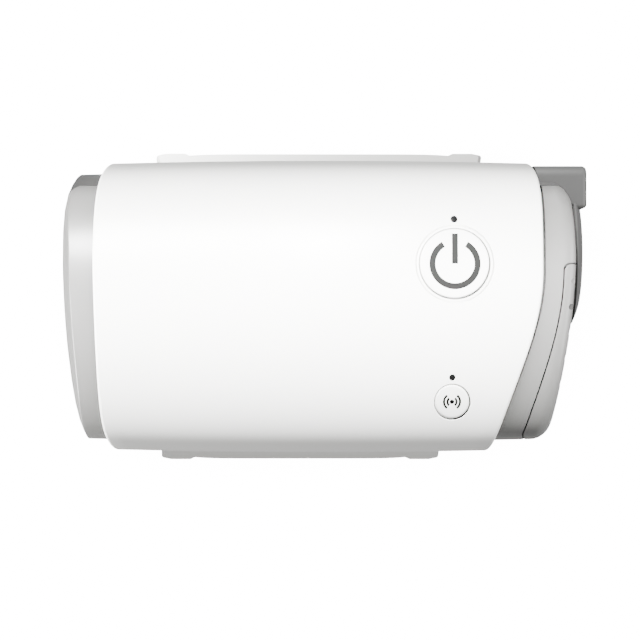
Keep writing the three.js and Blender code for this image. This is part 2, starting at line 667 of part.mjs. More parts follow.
const blockShape = (grow) => roundedRectangle(
  BLOCK.front - grow, BLOCK.back + grow, BLOCK.bottom - grow, BLOCK.top + grow, BLOCK.edge,
);
const blockSpace = prism('x', blockShape(GAP), BLOCK.inner - GAP, FAR_X);
const boardHoles = [
  [BOARD_HOLES.left, BOARD_HOLES.front, 0], [BOARD_HOLES.left, BOARD_HOLES.back, 0],
  [BOARD_HOLES.right, BOARD_HOLES.rightFront, 0], [BOARD_HOLES.right, BOARD_HOLES.back, 0],
];
const rearHoles = [REAR_HOLES.left, REAR_HOLES.right].map((x) => [x, 0, AXIS_HEIGHT + REAR_HOLES.height]);
const beyond = { left: -LEFT_END.reach - OVERRUN, right: FAR_X, far: SLEEVE.halfDepth + OVERRUN };

function housingBody() {
  const whole = joined(housingForm(0), barrel(LAND_INSET, HOUSING.landStart));
  const hollow = cut(housingForm(HOUSING.wall), doorSpace(HOUSING.wall));
  const bossBottom = BOARD.top + GAP;
  const form = housingForm(HOUSING.wall / 2);
  const boardBosses = boardHoles.map((centre) => (
    rod('z', BOSS.radius, bossBottom, SKY, centre).intersect(form)
  ));
  const baseBosses = baseHoles.map((centre) => (
    rod('z', BASE_BOSS.radius, 0, BASE_BOSS.top, centre).intersect(form)
  ));
  const rearBosses = rearHoles.map((centre) => {
    const [x, , z] = centre;
    const { radius, front, rib } = REAR_BOSS;
    return joined(
      rod('y', radius, front, SLEEVE.halfDepth, centre),
      box(x - rib / 2, x + rib / 2, front, SLEEVE.halfDepth, z, SKY),
    ).intersect(form);
  });
  return joined(cut(whole, hollow), ...boardBosses, ...baseBosses, ...rearBosses);
}

const body = housingBody();

function frontHousing() {
  const rearHalf = box(beyond.left, beyond.right, HOUSING.splitY, beyond.far, 0, SKY);
  const windowSpace = box(
    FOAM.right, BLOCK.face, WINDOW.front, WINDOW.back,
    AXIS_HEIGHT - WINDOW.halfHeight, AXIS_HEIGHT + WINDOW.halfHeight,
  );
  const open = cut(body, rearHalf, baySpace(0), blockSpace, windowSpace);
  return cut(
    joined(open, ...ears.map((span) => ear(span, 0).intersect(housingForm(0)))),
    rod('z', HINGE.pinRadius + GAP, 0, pinTop + GAP, hingeCentre),
    rod('x', COLLAR.bore, PORT.inner, FAR_X, outletCentre),
    rod('z', POWER.radius + GAP, AXIS_HEIGHT, SKY, powerCentre),
    rod('z', WIRELESS.radius + GAP, AXIS_HEIGHT, SKY, wirelessCentre),
    ...pipeCentres.map((centre) => rod('z', PIPE.radius + GAP, AXIS_HEIGHT, SKY, centre)),
    ...boardHoles.map((centre) => rod('z', BOSS.bore, AXIS_HEIGHT, BOARD.top + BOSS.depth, centre)),
    ...baseHoles.map((centre) => rod('z', BASE_SCREW.shankRadius + GAP, 0, BASE_SCREW.tip + GAP, centre)),
    ...rearHoles.map((centre) => (
      rod('y', REAR_SCREW.shankRadius + GAP, REAR_SCREW.tip - GAP, SLEEVE.halfDepth, centre)
    )),
  );
}

// The space that the sleeve's own wall takes, with clearance
const sleeveSpace = loft([...barrelRings(-GAP, -GAP), ...barrelRings(LAND_INSET, -GAP).reverse()], true);

function powerBlock() {
  return cut(
    prism('x', blockShape(0), BLOCK.inner, BLOCK.face),
    sleeveSpace,
    rod('x', SOCKET.barrel + GAP, 0, FAR_X, socketCentre),
  );
}

const socketCentre = [0, (BLOCK.front + BLOCK.back) / 2, AXIS_HEIGHT];

function rearHousing() {
  const frontHalf = box(beyond.left, beyond.right, -beyond.far, HOUSING.splitY + GAP, 0, SKY);
  const shell = cut(body, frontHalf, prism('x', blockShape(0), BLOCK.inner, BLOCK.face));
  return cut(
    joined(shell, powerBlock()),
    ...rearHoles.map((centre) => rod('y', REAR_SCREW.shankRadius + GAP, 0, SLEEVE.halfDepth, centre)),
    ...rearHoles.map((centre) => (
      rod('y', REAR_SCREW.headRadius + GAP, REAR_SCREW.seat, SLEEVE.halfDepth, centre)
    )),
  );
}

addPart('front_housing', frontHousing(), LIGHT_GREY);
addPart('rear_housing', rearHousing(), DARK_GREY);
addPart('filter_door', filterDoor(), LIGHT_GREY);
addPart('door_hinge_pin', rod('z', HINGE.pinRadius, ears[0].bottom, pinTop, hingeCentre), STEEL);

rearHoles.forEach((centre, index) => {
  const seat = REAR_SCREW.seat + GAP;
  addPart(`housing_screw_${index + 1}`, screw('y', REAR_SCREW, seat, REAR_SCREW.tip, centre), STEEL);
});

// Outlet: a domed collar, the liner of the port, its seal and the duct from the blower

function outletCollar() {
  const { radius, face, bore, rimWidth, shoulder, edge, root, domeShares } = COLLAR;
  const rim = bore + rimWidth;
  const profile = [
    [bore, root], [radius, root], [radius, shoulder - edge], [radius - edge / 2, shoulder],
    ...domeShares.map(({ drawn, risen }) => [
      THREE.MathUtils.lerp(radius, rim, drawn), THREE.MathUtils.lerp(shoulder, face, risen),
    ]),
    [rim, face], [bore + edge, face], [bore, face - edge], [bore, root],
  ];
  const dome = turned('x', profile, outletCentre);
  return cut(dome, housingForm(-GAP), blockSpace);
}
addPart('outlet_collar', outletCollar(), DARK_GREY);

function outletPort() {
  const { bore, face, inner, flangeRadius, flange } = PORT;
  const outer = COLLAR.bore - GAP;
  const lead = COLLAR.edge;
  const profile = [
    [bore, inner], [flangeRadius, inner], [flangeRadius, inner + flange], [outer, inner + flange],
    [outer, face], [bore + lead, face], [bore, face - lead], [bore, inner],
  ];
  return turned('x', profile, outletCentre);
}
addPart('outlet_port', outletPort(), DARK_GREY);

const ductOuter = DUCT.bore + DUCT.wall;
const nozzleEnd = BLOWER.x + BLOWER.nozzleLength;
const ductStart = nozzleEnd + DUCT.gapToNozzle;
const sealEnd = PORT.inner - GAP;
const ductEnd = sealEnd - SEAL.length - GAP;
addPart('port_seal', pipe(
  'x', DUCT.bore, PORT.flangeRadius, sealEnd - SEAL.length, sealEnd, outletCentre,
), SILICONE);
addPart('outlet_duct', pipe('x', DUCT.bore, ductOuter, ductStart, ductEnd, outletCentre), DARK_GREY);

// Power socket in its block

function dcSocket() {
  const { bore, barrel: radius, inner, floor, pinRadius } = SOCKET;
  const profile = [
    [pinRadius + GAP, inner], [radius, inner], [radius, BLOCK.face - GAP], [bore, BLOCK.face - GAP],
    [bore, floor], [pinRadius + GAP, floor], [pinRadius + GAP, inner],
  ];
  return turned('x', profile, socketCentre);
}
addPart('power_socket', dcSocket(), BLACK);
addPart('socket_pin', turned('x', [
  [0, SOCKET.inner], [SOCKET.pinRadius, SOCKET.inner], [SOCKET.pinRadius, SOCKET.pinTip - SOCKET.pinRadius],
  [SOCKET.pinRadius / 2, SOCKET.pinTip], [0, SOCKET.pinTip],
], socketCentre), STEEL);

// Air filter in its frame, standing on the wall of the bay, and the muffler foam behind it

const bayLean = Math.atan2(doorLine(FILTER.back) - doorLine(FILTER.front), FILTER.back - FILTER.front);
const bayMiddle = new THREE.Vector3(
  (doorLine(FILTER.back) + doorLine(FILTER.front)) / 2, (FILTER.back + FILTER.front) / 2, AXIS_HEIGHT,
);

// A plate that stands in the bay, from one depth to another
function bayPlate(halfWidth, halfHeight, from, to) {
  const geometry = geometryOf(box(from, to, -halfWidth, halfWidth, -halfHeight, halfHeight));
  geometry.rotateZ(-bayLean);
  geometry.translate(...bayMiddle.toArray());
  return solidOf(geometry);
}

const filterHalfWidth = (FILTER.back - FILTER.front) / 2;
const frameDepth = FILTER.frame + FILTER.pad + GAP;

function filterFrame() {
  const tray = bayPlate(filterHalfWidth, FILTER.halfHeight, FILTER.seat, FILTER.seat + frameDepth);
  const lip = FILTER.border / 2;
  const pocketFloor = FILTER.seat + FILTER.frame;
  const pocket = bayPlate(
    filterHalfWidth - lip, FILTER.halfHeight - lip, pocketFloor, pocketFloor + frameDepth + OVERRUN,
  );
  const opening = bayPlate(
    filterHalfWidth - FILTER.border, FILTER.halfHeight - FILTER.border, FILTER.seat - OVERRUN, FAR_X,
  );
  return cut(tray, pocket, opening);
}
addPart('filter_frame', filterFrame(), LIGHT_GREY);

const padInset = FILTER.border / 2 + GAP;
addPart('air_filter', bayPlate(
  filterHalfWidth - padInset, FILTER.halfHeight - padInset,
  FILTER.seat + FILTER.frame + GAP, FILTER.seat + FILTER.frame + GAP + FILTER.pad,
), FILTER_WHITE);

addPart('inlet_foam', box(FOAM.left, FOAM.right, FOAM.front, FOAM.back, FOAM.bottom, FOAM.top), FOAM_GREY);

// Blower: a scroll that opens towards the nozzle, split into two shells

const onBoard = BOARD.top + GAP;
const leadHeight = onBoard + MOTOR_PLUG.height / 2;

const blowerCentre = [BLOWER.x, BLOWER.y, 0];

function scroll(inset) {
  const shape = new THREE.Shape();
  for (let i = 0; i <= SCROLL.steps; i += 1) {
    const share = i / SCROLL.steps;
    const radius = THREE.MathUtils.lerp(SCROLL.start, SCROLL.end, share) - inset;
    const angle = THREE.MathUtils.degToRad(SCROLL.tongueDegrees - SCROLL.turnDegrees * share);
    const x = BLOWER.x + radius * Math.cos(angle);
    const y = BLOWER.y + radius * Math.sin(angle);
    if (i) shape.lineTo(x, y);
    else shape.moveTo(x, y);
  }
  return shape;
}

function voluteForm() {
  const { x, bottom, top, wall } = BLOWER;
  const outside = joined(
    prism('z', scroll(0), bottom, top),
    rod('x', ductOuter, x, nozzleEnd, outletCentre),
  );
  const inside = joined(
    prism('z', scroll(wall), bottom + wall, top - wall),
    rod('x', DUCT.bore, x, nozzleEnd + OVERRUN, outletCentre),
  );
  return cut(outside, inside);
}

const volute = voluteForm();
const seamHeight = AIR.z;
const bigBox = (bottom, top) => box(beyond.left, beyond.right, -beyond.far, beyond.far, bottom, top);
addPart('volute_lower', cut(
  volute.intersect(bigBox(0, seamHeight - GAP / 2)),
  rod('z', EYE.radius, 0, seamHeight - GAP, blowerCentre),
), BLACK);
addPart('volute_upper', cut(
  volute.intersect(bigBox(seamHeight + GAP / 2, SKY)),
  rod('z', BEARING.radius + GAP, seamHeight + GAP, SKY, blowerCentre),
), BLACK);

// Impeller with swept blades under its plate
function impellerBlade(index) {
  const turn = (index / BLADES.count) * Math.PI * 2;
  const side = (offset) => {
    const points = [];
    for (let i = 0; i <= BLADES.steps; i += 1) {
      const share = i / BLADES.steps;
      const radius = THREE.MathUtils.lerp(BLADES.innerRadius, IMPELLER.radius, share);
      const angle = turn + THREE.MathUtils.degToRad(BLADES.sweepDegrees) * share + offset / radius;
      const point = new THREE.Vector2(radius * Math.cos(angle), radius * Math.sin(angle));
      points.push(point.add(new THREE.Vector2(BLOWER.x, BLOWER.y)));
    }
    return points;
  };
  const half = IMPELLER.bladeThickness / 2;
  const outline = [...side(half), ...side(-half).reverse()];
  const bladeTop = IMPELLER.bottom + IMPELLER.bladeHeight;
  return prism('z', new THREE.Shape(outline), IMPELLER.bottom, bladeTop + IMPELLER.plate / 2);
}

function impeller() {
  const { radius, plate, bottom, bladeHeight, hubRadius, hubFlare, hubTop } = IMPELLER;
  const plateBottom = bottom + bladeHeight;
  const bore = SHAFT.radius + GAP;
  const disc = turned('z', [
    [bore, bottom], [hubRadius / 2 + bore / 2, bottom], [hubRadius, plateBottom - hubRadius / 2],
    [hubRadius + hubFlare, plateBottom], [radius, plateBottom], [radius, plateBottom + plate],
    [hubRadius, plateBottom + plate], [hubRadius, hubTop], [bore, hubTop], [bore, bottom],
  ], blowerCentre);
  const blades = [];
  for (let i = 0; i < BLADES.count; i += 1) blades.push(impellerBlade(i));
  return joined(disc, ...blades);
}
addPart('impeller', impeller(), WHITE);

addPart('motor_shaft', rod('z', SHAFT.radius, SHAFT.bottom, SHAFT.top, blowerCentre), STEEL);

function bearing(bottom) {
  return pipe('z', SHAFT.radius + GAP, BEARING.radius, bottom, bottom + BEARING.width, blowerCentre);
}
const lowerBearing = BLOWER.top - BEARING.width;
const upperBearing = CAP.top - BEARING.width - GAP;
addPart('bearing_lower', bearing(lowerBearing), STEEL);
addPart('bearing_upper', bearing(upperBearing), STEEL);

addPart('motor_rotor', pipe(
  'z', SHAFT.radius + GAP, MOTOR.rotorRadius, MOTOR.bottom, MOTOR.top, blowerCentre,
), STEEL);

// Stator: a ring with a winding slot between each pair of teeth
function stator() {
  const { statorInner, statorOuter, bottom, top, teeth, slotWidth, slotShare } = MOTOR;
  const slotDepth = (statorOuter - statorInner) * slotShare;
  const slots = [];
  for (let i = 0; i < teeth; i += 1) {
    const slot = new THREE.BoxGeometry(slotDepth * 2, slotWidth, top - bottom + OVERRUN);
    slot.translate(statorInner, 0, (bottom + top) / 2);
    slot.rotateZ((i / teeth) * Math.PI * 2);
    slot.translate(BLOWER.x, BLOWER.y, 0);
    slots.push(solidOf(slot));
  }
  return cut(pipe('z', statorInner, statorOuter, bottom, top, blowerCentre), ...slots);
}
addPart('motor_stator', stator(), COPPER);

addPart('motor_cap', turned('z', [
  [BEARING.radius + GAP, CAP.top - CAP.wall], [CAP.radius - CAP.wall, CAP.top - CAP.wall],
  [CAP.radius - CAP.wall, CAP.bottom], [CAP.radius, CAP.bottom], [CAP.radius, CAP.top - CAP.wall / 2],
  [CAP.radius - CAP.wall / 2, CAP.top], [BEARING.radius + GAP, CAP.top],
  [BEARING.radius + GAP, CAP.top - CAP.wall],
], blowerCentre), BLACK);

// Silicone rings that carry the blower between the floor and the ceiling
addPart('blower_mount_lower', pipe(
  'z', LOWER_MOUNT.inner, LOWER_MOUNT.outer, LOWER_MOUNT.bottom, BLOWER.bottom - GAP, blowerCentre,
), SILICONE);
function upperMount() {
  const { inner, outer, top } = UPPER_MOUNT;
  const leadWidth = LEAD.radius + GAP;
  const notch = box(
    BLOWER.x, BLOWER.x + outer + OVERRUN, MOTOR_PLUG.y - leadWidth, MOTOR_PLUG.y + leadWidth,
    leadHeight - leadWidth, SKY,
  );
  return cut(pipe('z', inner, outer, BLOWER.top + GAP, top, blowerCentre), notch);
}
addPart('blower_mount_upper', upperMount(), SILICONE);

// Silicone coupling over the nozzle's end and the duct's start
addPart('duct_coupling', pipe(
  'x', ductOuter + GAP, ductOuter + GAP + COUPLING.wall,
  nozzleEnd - COUPLING.overlap, ductStart + COUPLING.overlap, outletCentre,
), SILICONE);

// Main board, under the buttons

function mainBoard() {
  const { left, right, front, back, top, thickness, corner } = BOARD;
  const plate = prism('z', roundedRectangle(left, right, front, back, corner), top - thickness, top, 3);
  return cut(plate, ...boardHoles.map((centre) => rod('z', BOSS.bore, 0, SKY, centre)));
}
addPart('main_board', mainBoard(), BOARD_GREEN);

boardHoles.forEach((centre, index) => {
  const seat = BOARD.top - BOARD.thickness - GAP;
  const tip = seat + BOARD_SCREW.length;
  addPart(`board_screw_${index + 1}`, screw('z', BOARD_SCREW, seat, tip, centre), STEEL);
});

function block({ x, y, half = 0, halfLength = half, halfWidth = half, height }, bottom = onBoard) {
  return box(x - halfLength, x + halfLength, y - halfWidth, y + halfWidth, bottom, bottom + height);
}
addPart('processor', block(PROCESSOR), BLACK);
addPart('radio_module', block(RADIO), STEEL);
addPart('motor_connector', block(MOTOR_PLUG), WHITE);
addPart('power_connector', block(POWER_PLUG), WHITE);
addPart('pressure_sensor', block(SENSOR, BOARD.top - BOARD.thickness - GAP - SENSOR.height), BLACK);
addPart('capacitor', turned('z', [
  [0, onBoard], [CAPACITOR.radius, onBoard],
  [CAPACITOR.radius, onBoard + CAPACITOR.height - CAPACITOR.radius / 4],
  [CAPACITOR.radius * 3 / 4, onBoard + CAPACITOR.height], [0, onBoard + CAPACITOR.height],
], [CAPACITOR.x, CAPACITOR.y, 0]), STEEL);

// Buttons: a cap that follows the sleeve's surface, a flange under the housing and a stem onto the switch

const switchTop = onBoard + SWITCH.height;
const plungerTop = switchTop + SWITCH.plungerProud;
const stemBottom = plungerTop + GAP;

function button({ x, y, radius, flangeRadius }) {
  const centre = [x, y, 0];
  const cap = rod('z', radius, stemBottom + BUTTON.flange, SKY, centre).intersect(barrel(-BUTTON.proud));
  const reach = sectionHeight(x, Math.abs(y) + flangeRadius / 2, CAVITY_INSET + GAP) + AXIS_HEIGHT;
  const flangeBottom = Math.max(reach - BUTTON.flange, stemBottom + BUTTON.travel);
  const flange = rod('z', flangeRadius, flangeBottom, SKY, centre)
    .intersect(housingForm(HOUSING.wall + GAP));
  const hollow = rod('z', radius - BUTTON.flange, 0, reach, centre);
  const stem = rod('z', BUTTON.stemRadius, stemBottom, reach + BUTTON.flange, centre);
  return joined(cut(joined(cap, flange), hollow), stem);
}
addPart('power_button', button(POWER), WHITE);
addPart('wireless_button', button(WIRELESS), WHITE);

function tactSwitch({ x, y }) {
  const housing = block({ x, y, half: SWITCH.half, height: SWITCH.height });
  return cut(housing, rod('z', SWITCH.bore, switchTop - SWITCH.boreDepth, SKY, [x, y, 0]));
}
for (const [name, place] of Object.entries({ power: POWER, wireless: WIRELESS })) {
  addPart(`${name}_switch`, tactSwitch(place), BLACK);
  addPart(`${name}_switch_plunger`, rod(
    'z', SWITCH.plungerRadius, switchTop - SWITCH.plungerDepth, plungerTop, [place.x, place.y, 0],
  ), WHITE);
}

// Light pipes from the board to the sleeve's surface
['power_light_pipe', 'wireless_light_pipe'].forEach((name, index) => {
  const lens = rod('z', PIPE.radius, onBoard, SKY, pipeCentres[index]).intersect(barrel(PIPE.sunk));
  addPart(name, lens, CLEAR_DARK);
});

// Leads, each a tube along a curve

function lead(route) {
  const section = new THREE.Shape();
  section.absarc(0, 0, LEAD.radius, 0, Math.PI * 2);
  const geometry = new THREE.ExtrudeGeometry(section, {
    extrudePath: new THREE.CatmullRomCurve3(route), steps: LEAD.steps, curveSegments: LEAD.sides / 2,
  });
  return solidOf(geometry);
}

const capSide = new THREE.Vector3(BLOWER.x + CAP.radius + GAP, MOTOR_PLUG.y, leadHeight);
const motorPlugSide = new THREE.Vector3(MOTOR_PLUG.x - MOTOR_PLUG.halfLength - GAP, MOTOR_PLUG.y, capSide.z);
const motorRun = motorPlugSide.clone().sub(capSide);
addPart('motor_lead', lead([
  capSide,
  capSide.clone().addScaledVector(motorRun, LEAD.endShare),
  capSide.clone().addScaledVector(motorRun, 1 / 2).add(new THREE.Vector3(0, 0, LEAD.radius)),
  capSide.clone().addScaledVector(motorRun, 1 - LEAD.endShare),
  motorPlugSide,
]), BLACK);

const socketBack = new THREE.Vector3(SOCKET.inner - GAP, socketCentre[1], AXIS_HEIGHT);
const powerPlugSide = new THREE.Vector3(
  POWER_PLUG.x + POWER_PLUG.halfLength + GAP, POWER_PLUG.y, onBoard + POWER_PLUG.height / 2,
);
const leadDrop = POWER_PLUG.height;
const leadRise = leadDrop * LEAD.riseShare;
addPart('power_lead', lead([
  socketBack,
  new THREE.Vector3(socketBack.x - leadDrop / 2, socketBack.y, socketBack.z),
  new THREE.Vector3(socketBack.x - leadDrop, socketBack.y - leadDrop / 2, socketBack.z + leadRise),
  new THREE.Vector3(powerPlugSide.x + leadDrop, (socketBack.y + AIR.y) / 2, powerPlugSide.z),
  new THREE.Vector3(powerPlugSide.x + leadDrop, AIR.y, powerPlugSide.z),
  new THREE.Vector3(powerPlugSide.x + leadDrop / 2, powerPlugSide.y, powerPlugSide.z),
  powerPlugSide,
]), BLACK);

export default machine;
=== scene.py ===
import json
import math

import bmesh
import bpy
import numpy as np
from mathutils import Matrix, Vector


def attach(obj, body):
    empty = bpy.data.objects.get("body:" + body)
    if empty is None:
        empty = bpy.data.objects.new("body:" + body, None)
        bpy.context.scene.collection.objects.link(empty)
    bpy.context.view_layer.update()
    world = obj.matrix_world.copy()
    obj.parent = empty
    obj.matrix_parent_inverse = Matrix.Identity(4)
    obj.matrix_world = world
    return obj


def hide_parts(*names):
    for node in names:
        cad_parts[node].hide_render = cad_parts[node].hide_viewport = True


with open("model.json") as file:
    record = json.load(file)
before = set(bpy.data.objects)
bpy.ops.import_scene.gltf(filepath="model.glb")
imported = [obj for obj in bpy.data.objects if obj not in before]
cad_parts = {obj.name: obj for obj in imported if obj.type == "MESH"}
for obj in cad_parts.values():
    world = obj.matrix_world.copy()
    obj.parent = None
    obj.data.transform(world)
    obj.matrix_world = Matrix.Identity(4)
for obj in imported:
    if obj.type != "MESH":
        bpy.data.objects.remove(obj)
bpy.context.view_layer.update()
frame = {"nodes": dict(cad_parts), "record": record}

# Solids are drawn in millimetres and scaled to metres when they are finished.
# The camera, the lights and their places are in metres.
MM = 0.001

# Clearance between pieces, that of a fine seam, and how far the cutting solids reach
GAP = 0.3
SEAM_GAP = 0.08
SKY = 70
FAR_X, FAR_FRONT = 74, -44

# The section of the barrel is a rounded oblong, |y/a|^n + |z/b|^n = 1, which thins towards its ends
SECTION_POWER = 3
AXIS_HEIGHT = 28
BOW_SHARE, BOW_REACH = 0.022, 60
SLEEVE_DEPTH, SLEEVE_HEIGHT, SLEEVE_WALL = 38.2, 24, 2.0
RIM_ROUND, INNER_ROUND = 0.75, 0.4

# The air outlet's axis, where both ends bulge the most
AIR_Y, AIR_Z = 13.8, 27.5

# Curves of the housing's ends and of the sleeve's rims. Only the ends fall back above and below the axis.
LEFT_END = {
    "reach": -68.25, "sweep": 5.6, "sweep_power": 2, "rise": 4.6,
    "back_turn": 7.3, "front_turn": 3.4, "turn_power": 8.5,
}
RIGHT_END = {
    "reach": 66.4, "sweep": 8.2, "sweep_power": 1.6, "rise": 2.8,
    "back_turn": 4, "front_turn": 1.2, "turn_power": 6,
}
LEFT_RIM = {
    "reach": -58.5, "sweep": 2.2, "sweep_power": 1.4, "back_turn": 2.4, "front_turn": 2.2, "turn_power": 10,
}
RIGHT_RIM = {
    "reach": 55.9, "slant_start": 9.5, "slant_span": 56.4, "slant_fall": 12.5,
    "back_turn": 2.2, "front_turn": 1.2, "turn_power": 9,
}

# The grey housing: the part that shows is set in from the sleeve, and a land under the sleeve carries it
INSET, HOUSING_WALL, LAND_START, SPLIT_Y = 2.7, 1.8, 4, 31.1
LAND_INSET = SLEEVE_WALL + GAP
END_FILLET, CRISP_EDGE = 3.5, 0.22
DOME_SHARES = (0.2, 0.4, 0.6, 0.75, 0.87, 0.95)

# The seam of the two housings turns to the front near the left end. One reach past the turn, it lies
# one drop further to the front.
SEAM = {"turns_at": -62.5, "end": -72, "reach": 2.4, "drop": 1.5, "power": 1.3}
BEHIND_SEAM = {"left": -80, "right": 80, "back": 50}

# The shadow gap beside the sleeve's right rim, which narrows to the front
GROOVE = {
    "above": 1, "depth": 1.5, "width": 0.85, "full_at": 5, "narrow_at": -28, "narrow_share": 0.4,
}

# The front housing's window behind the filter, and the deepened gap at the door's back end: the low and
# high x, y and z of each
FILTER_WINDOW = (49.5, 68.2, -23, -12, 19.5, 36.5)
DOOR_END_GAP = (61, FAR_X, 10.7, 11.18, 42.5, 47)

# The power inlet's block at the right end of the rear housing
BLOCK = {
    "inner": 52.5, "face": 68.2, "front": 25.3, "back": 35.9, "bottom": 15.5, "top": 40.6, "corner": 1.8,
    "farther_back": 0.5, "slope": 1.6, "bevel": 1.3, "bevel_steps": 6, "bevel_degrees": 25,
}
SOCKET_Y = (BLOCK["front"] + BLOCK["back"]) / 2
SOCKET_RADIUS = 4.15

# The filter door, its air slots and its hinge
DOOR = {
    "reach": 61.3, "slant_start": 10, "slant_span": 62, "slant_fall": 12.4, "back": 11.1, "corner": 1.8,
    "wall": 1.8,
}
SLOT = {
    "width": 1.4, "pitch": 6.6, "first": 6.5, "count": 5, "bottom": 12.5, "top": 43.5, "collar_top": 47.5,
    "roundness": 0.49, "depth": 3.5,
}
HINGE = {"turn": 2.8, "skin": 1.9, "knuckle": 1.7, "low": 23, "high": 33, "bore": 0.7}
EAR = {"height": 2.2, "reach": 4.2, "bore": 0.68, "pin_share": 0.75}
PIN_TOP = HINGE["high"] + EAR["height"] * EAR["pin_share"]
EARS = [
    (HINGE["low"] - GAP - EAR["height"], HINGE["low"] - GAP),
    (HINGE["high"] + GAP, HINGE["high"] + GAP + EAR["height"]),
]

# The outlet's collar. Its bore's edge is (radius past the bore, depth under the face).
COLLAR = {
    "radius": 18.5, "bore": 10.6, "rim_width": 1.8, "root": 57, "shoulder": 65.1, "edge": 0.4, "face": 67.1,
    "seat": 0.12, "block_gap": 0.15, "rebate_depth": 0.55, "rebate_width": 0.7, "rebate_start": 40,
}
BORE_EDGE = [(0.5, 0), (0.15, 0.15), (0, 0.5)]
PORT_START = 50

# Buttons. Their holes lie a little to the right and front, where the gap looks wider.
POWER = {"x": 33.3, "y": 11, "radius": 8.8, "flange": 9.5, "edge": 0.4, "hole_shift": 0.13}
WIRELESS = {"x": 32.8, "y": -24.2, "radius": 4.35, "flange": 5.2, "edge": 0.55, "hole_shift": 0.1}
BUTTON = {"proud": 0.2, "skirt": -5.5, "flange_bottom": -6.4, "stem": 2.2, "stem_bottom": 42.05}
# The slight crown of a button: (share of the radius, height over the rim)
CROWN = [(0, 0.04), (0.4, 0.03), (0.75, 0.01)]
# The edges of the holes in the sleeve, from the hole's wall outwards: (radius, rise over the sleeve's top)
HOLE_BOTTOM = 40
POWER_DISH = [
    (9.08, -0.55), (9.12, -0.41), (9.2, -0.35), (9.5, -0.33), (9.68, -0.41), (9.7, -0.9), (9.96, -0.9),
    (10, -0.05), (10.08, 0.03),
]
WIRELESS_EDGE = [(4.64, -0.3), (4.66, -0.12), (4.72, -0.03), (4.8, 0.03)]

# Light pipes: x, y and radius. The lens's dome is (share of the radius, rise), and the edge of its hole
# is (radius past the lens, rise).
LIGHTS = {"power": (33.3, 22.2, 0.88), "wireless": (32.8, -18.0, 0.78)}
LENS_DOME = [(0, 0), (0.6, -0.02), (0.9, -0.06), (1, -0.12)]
LENS_BOTTOM, LENS_GAP = 39.2, 0.05
LENS_EDGE = [(0.02, -0.06), (0.06, 0.02)]

# Signs printed on the buttons
SIGN_THICKNESS, SIGN_RISE = 0.025, 0.24
STANDBY = {"stroke": 1.52, "radius": 5.72, "start": 120.8, "end": 419.2, "bar_top": 7.65, "shift": 0.15}
RADIO = {"dot": 0.56, "stroke": 0.55, "waves": (1.15, 2.05), "half_angle": 52}

# The base plate: a thin skirt with an ear at each corner, and a saddle under the sleeve
BASE_ENDS = {"front": (-44.4, 31.8), "back": (-45.8, 43.6)}
BASE_DEPTH, UNDERSIDE, SKIRT_TOP, SADDLE_DEPTH, SADDLE_TOP = 42, 1.2, 2.9, 33, 7.4
# Height, and how far the plan is drawn in there at its ends and at its long sides
BASE_LEVELS = [
    (UNDERSIDE, 0.3, 0.3), (1.4, 0.06, 0.06), (1.7, 0, 0), (2.5, 0.3, 0), (2.8, 0.5, 0.06),
    (3.2, 0.85, 0.25), (5, 1.3, 0.3), (8, 1.4, 0.3),
]
EAR_WIDTH, EAR_SLOPE, EAR_DROP, SKIRT_DROP, DROP_POWER = 7.6, 1.2, 0.55, 0.15, 8
# An ear's outline: (distance from the plan's end, drop from its side)
EAR_CORNER = [(0, 1.1), (0.08, 0.72), (0.3, 0.48), (0.7, 0.34), (2.4, 0), (EAR_WIDTH, 0)]
BASE_TOOL = {"past_sides": 6, "past_underside": 1, "barrel_end": 55, "end": 60}
FEET = {"places": (-38, 24), "half_width": 3.6, "half_length": 33.1, "corner": 3.3, "recess": 2.2}
BASE_SCREWS = {"x": (-29, 15), "y": (-19.5, 19.5), "bore": 1.4, "head": 2.7, "head_top": 3.1}

# How finely the forms are divided
SECTION_SAMPLES = 16384
AROUND = 192
TURNS, COLLAR_TURNS, BUTTON_TURNS, HEAD_TURNS, SMALL_TURNS = 96, 160, 128, 48, 32
SLEEVE_STATIONS, BARREL_STATIONS, COARSE_STATIONS, SPACE_STATIONS, BASE_STATIONS = 26, 30, 10, 12, 11
RIM_STEPS, CRISP_STEPS, FILLET_STEPS, BUTTON_EDGE_STEPS = 6, 3, 10, 6
CORNER_STEPS, DOOR_LINE_STEPS, HINGE_STEPS, EAR_STEPS, SEAM_STEPS = 8, 48, 12, 24, 24
COLLAR_EDGE_STEPS, COLLAR_DOME_STEPS, SKIRT_STEPS = 4, 12, 32
STANDBY_STEPS, BAR_STEPS, DOT_STEPS, WAVE_STEPS = 96, 12, 24, 20
SMOOTH_DEGREES = 32
WELD_DISTANCE = 1e-5


# The barrel's form

def section_points(count):
    """Points of the barrel's section, evenly spaced, as shares of its half depth and half height."""
    angles = np.linspace(0, 2 * math.pi, SECTION_SAMPLES + 1)
    shares = [np.sign(v) * np.abs(v) ** (2 / SECTION_POWER) for v in (np.cos(angles), np.sin(angles))]
    steps = np.hypot(np.diff(shares[0]) * SLEEVE_DEPTH, np.diff(shares[1]) * SLEEVE_HEIGHT)
    along = np.concatenate([[0], np.cumsum(steps)])
    places = np.linspace(0, along[-1], count + 1)[:-1]
    return np.interp(places, along, shares[0]), np.interp(places, along, shares[1])


SECTION_Y, SECTION_Z = section_points(AROUND)


def bow(x):
    return 1 - BOW_SHARE * (x / BOW_REACH) ** 2


def sweep(y, curve):
    """How far a curve falls back on each side of its crest at the outlet's axis."""
    share = np.abs(y - AIR_Y) / (SLEEVE_DEPTH + AIR_Y)
    return curve["sweep"] * share ** curve["sweep_power"]


def rise(z, curve):
    """How far an end falls back above and below the barrel's axis."""
    return curve["rise"] * (z / SLEEVE_HEIGHT) ** 2


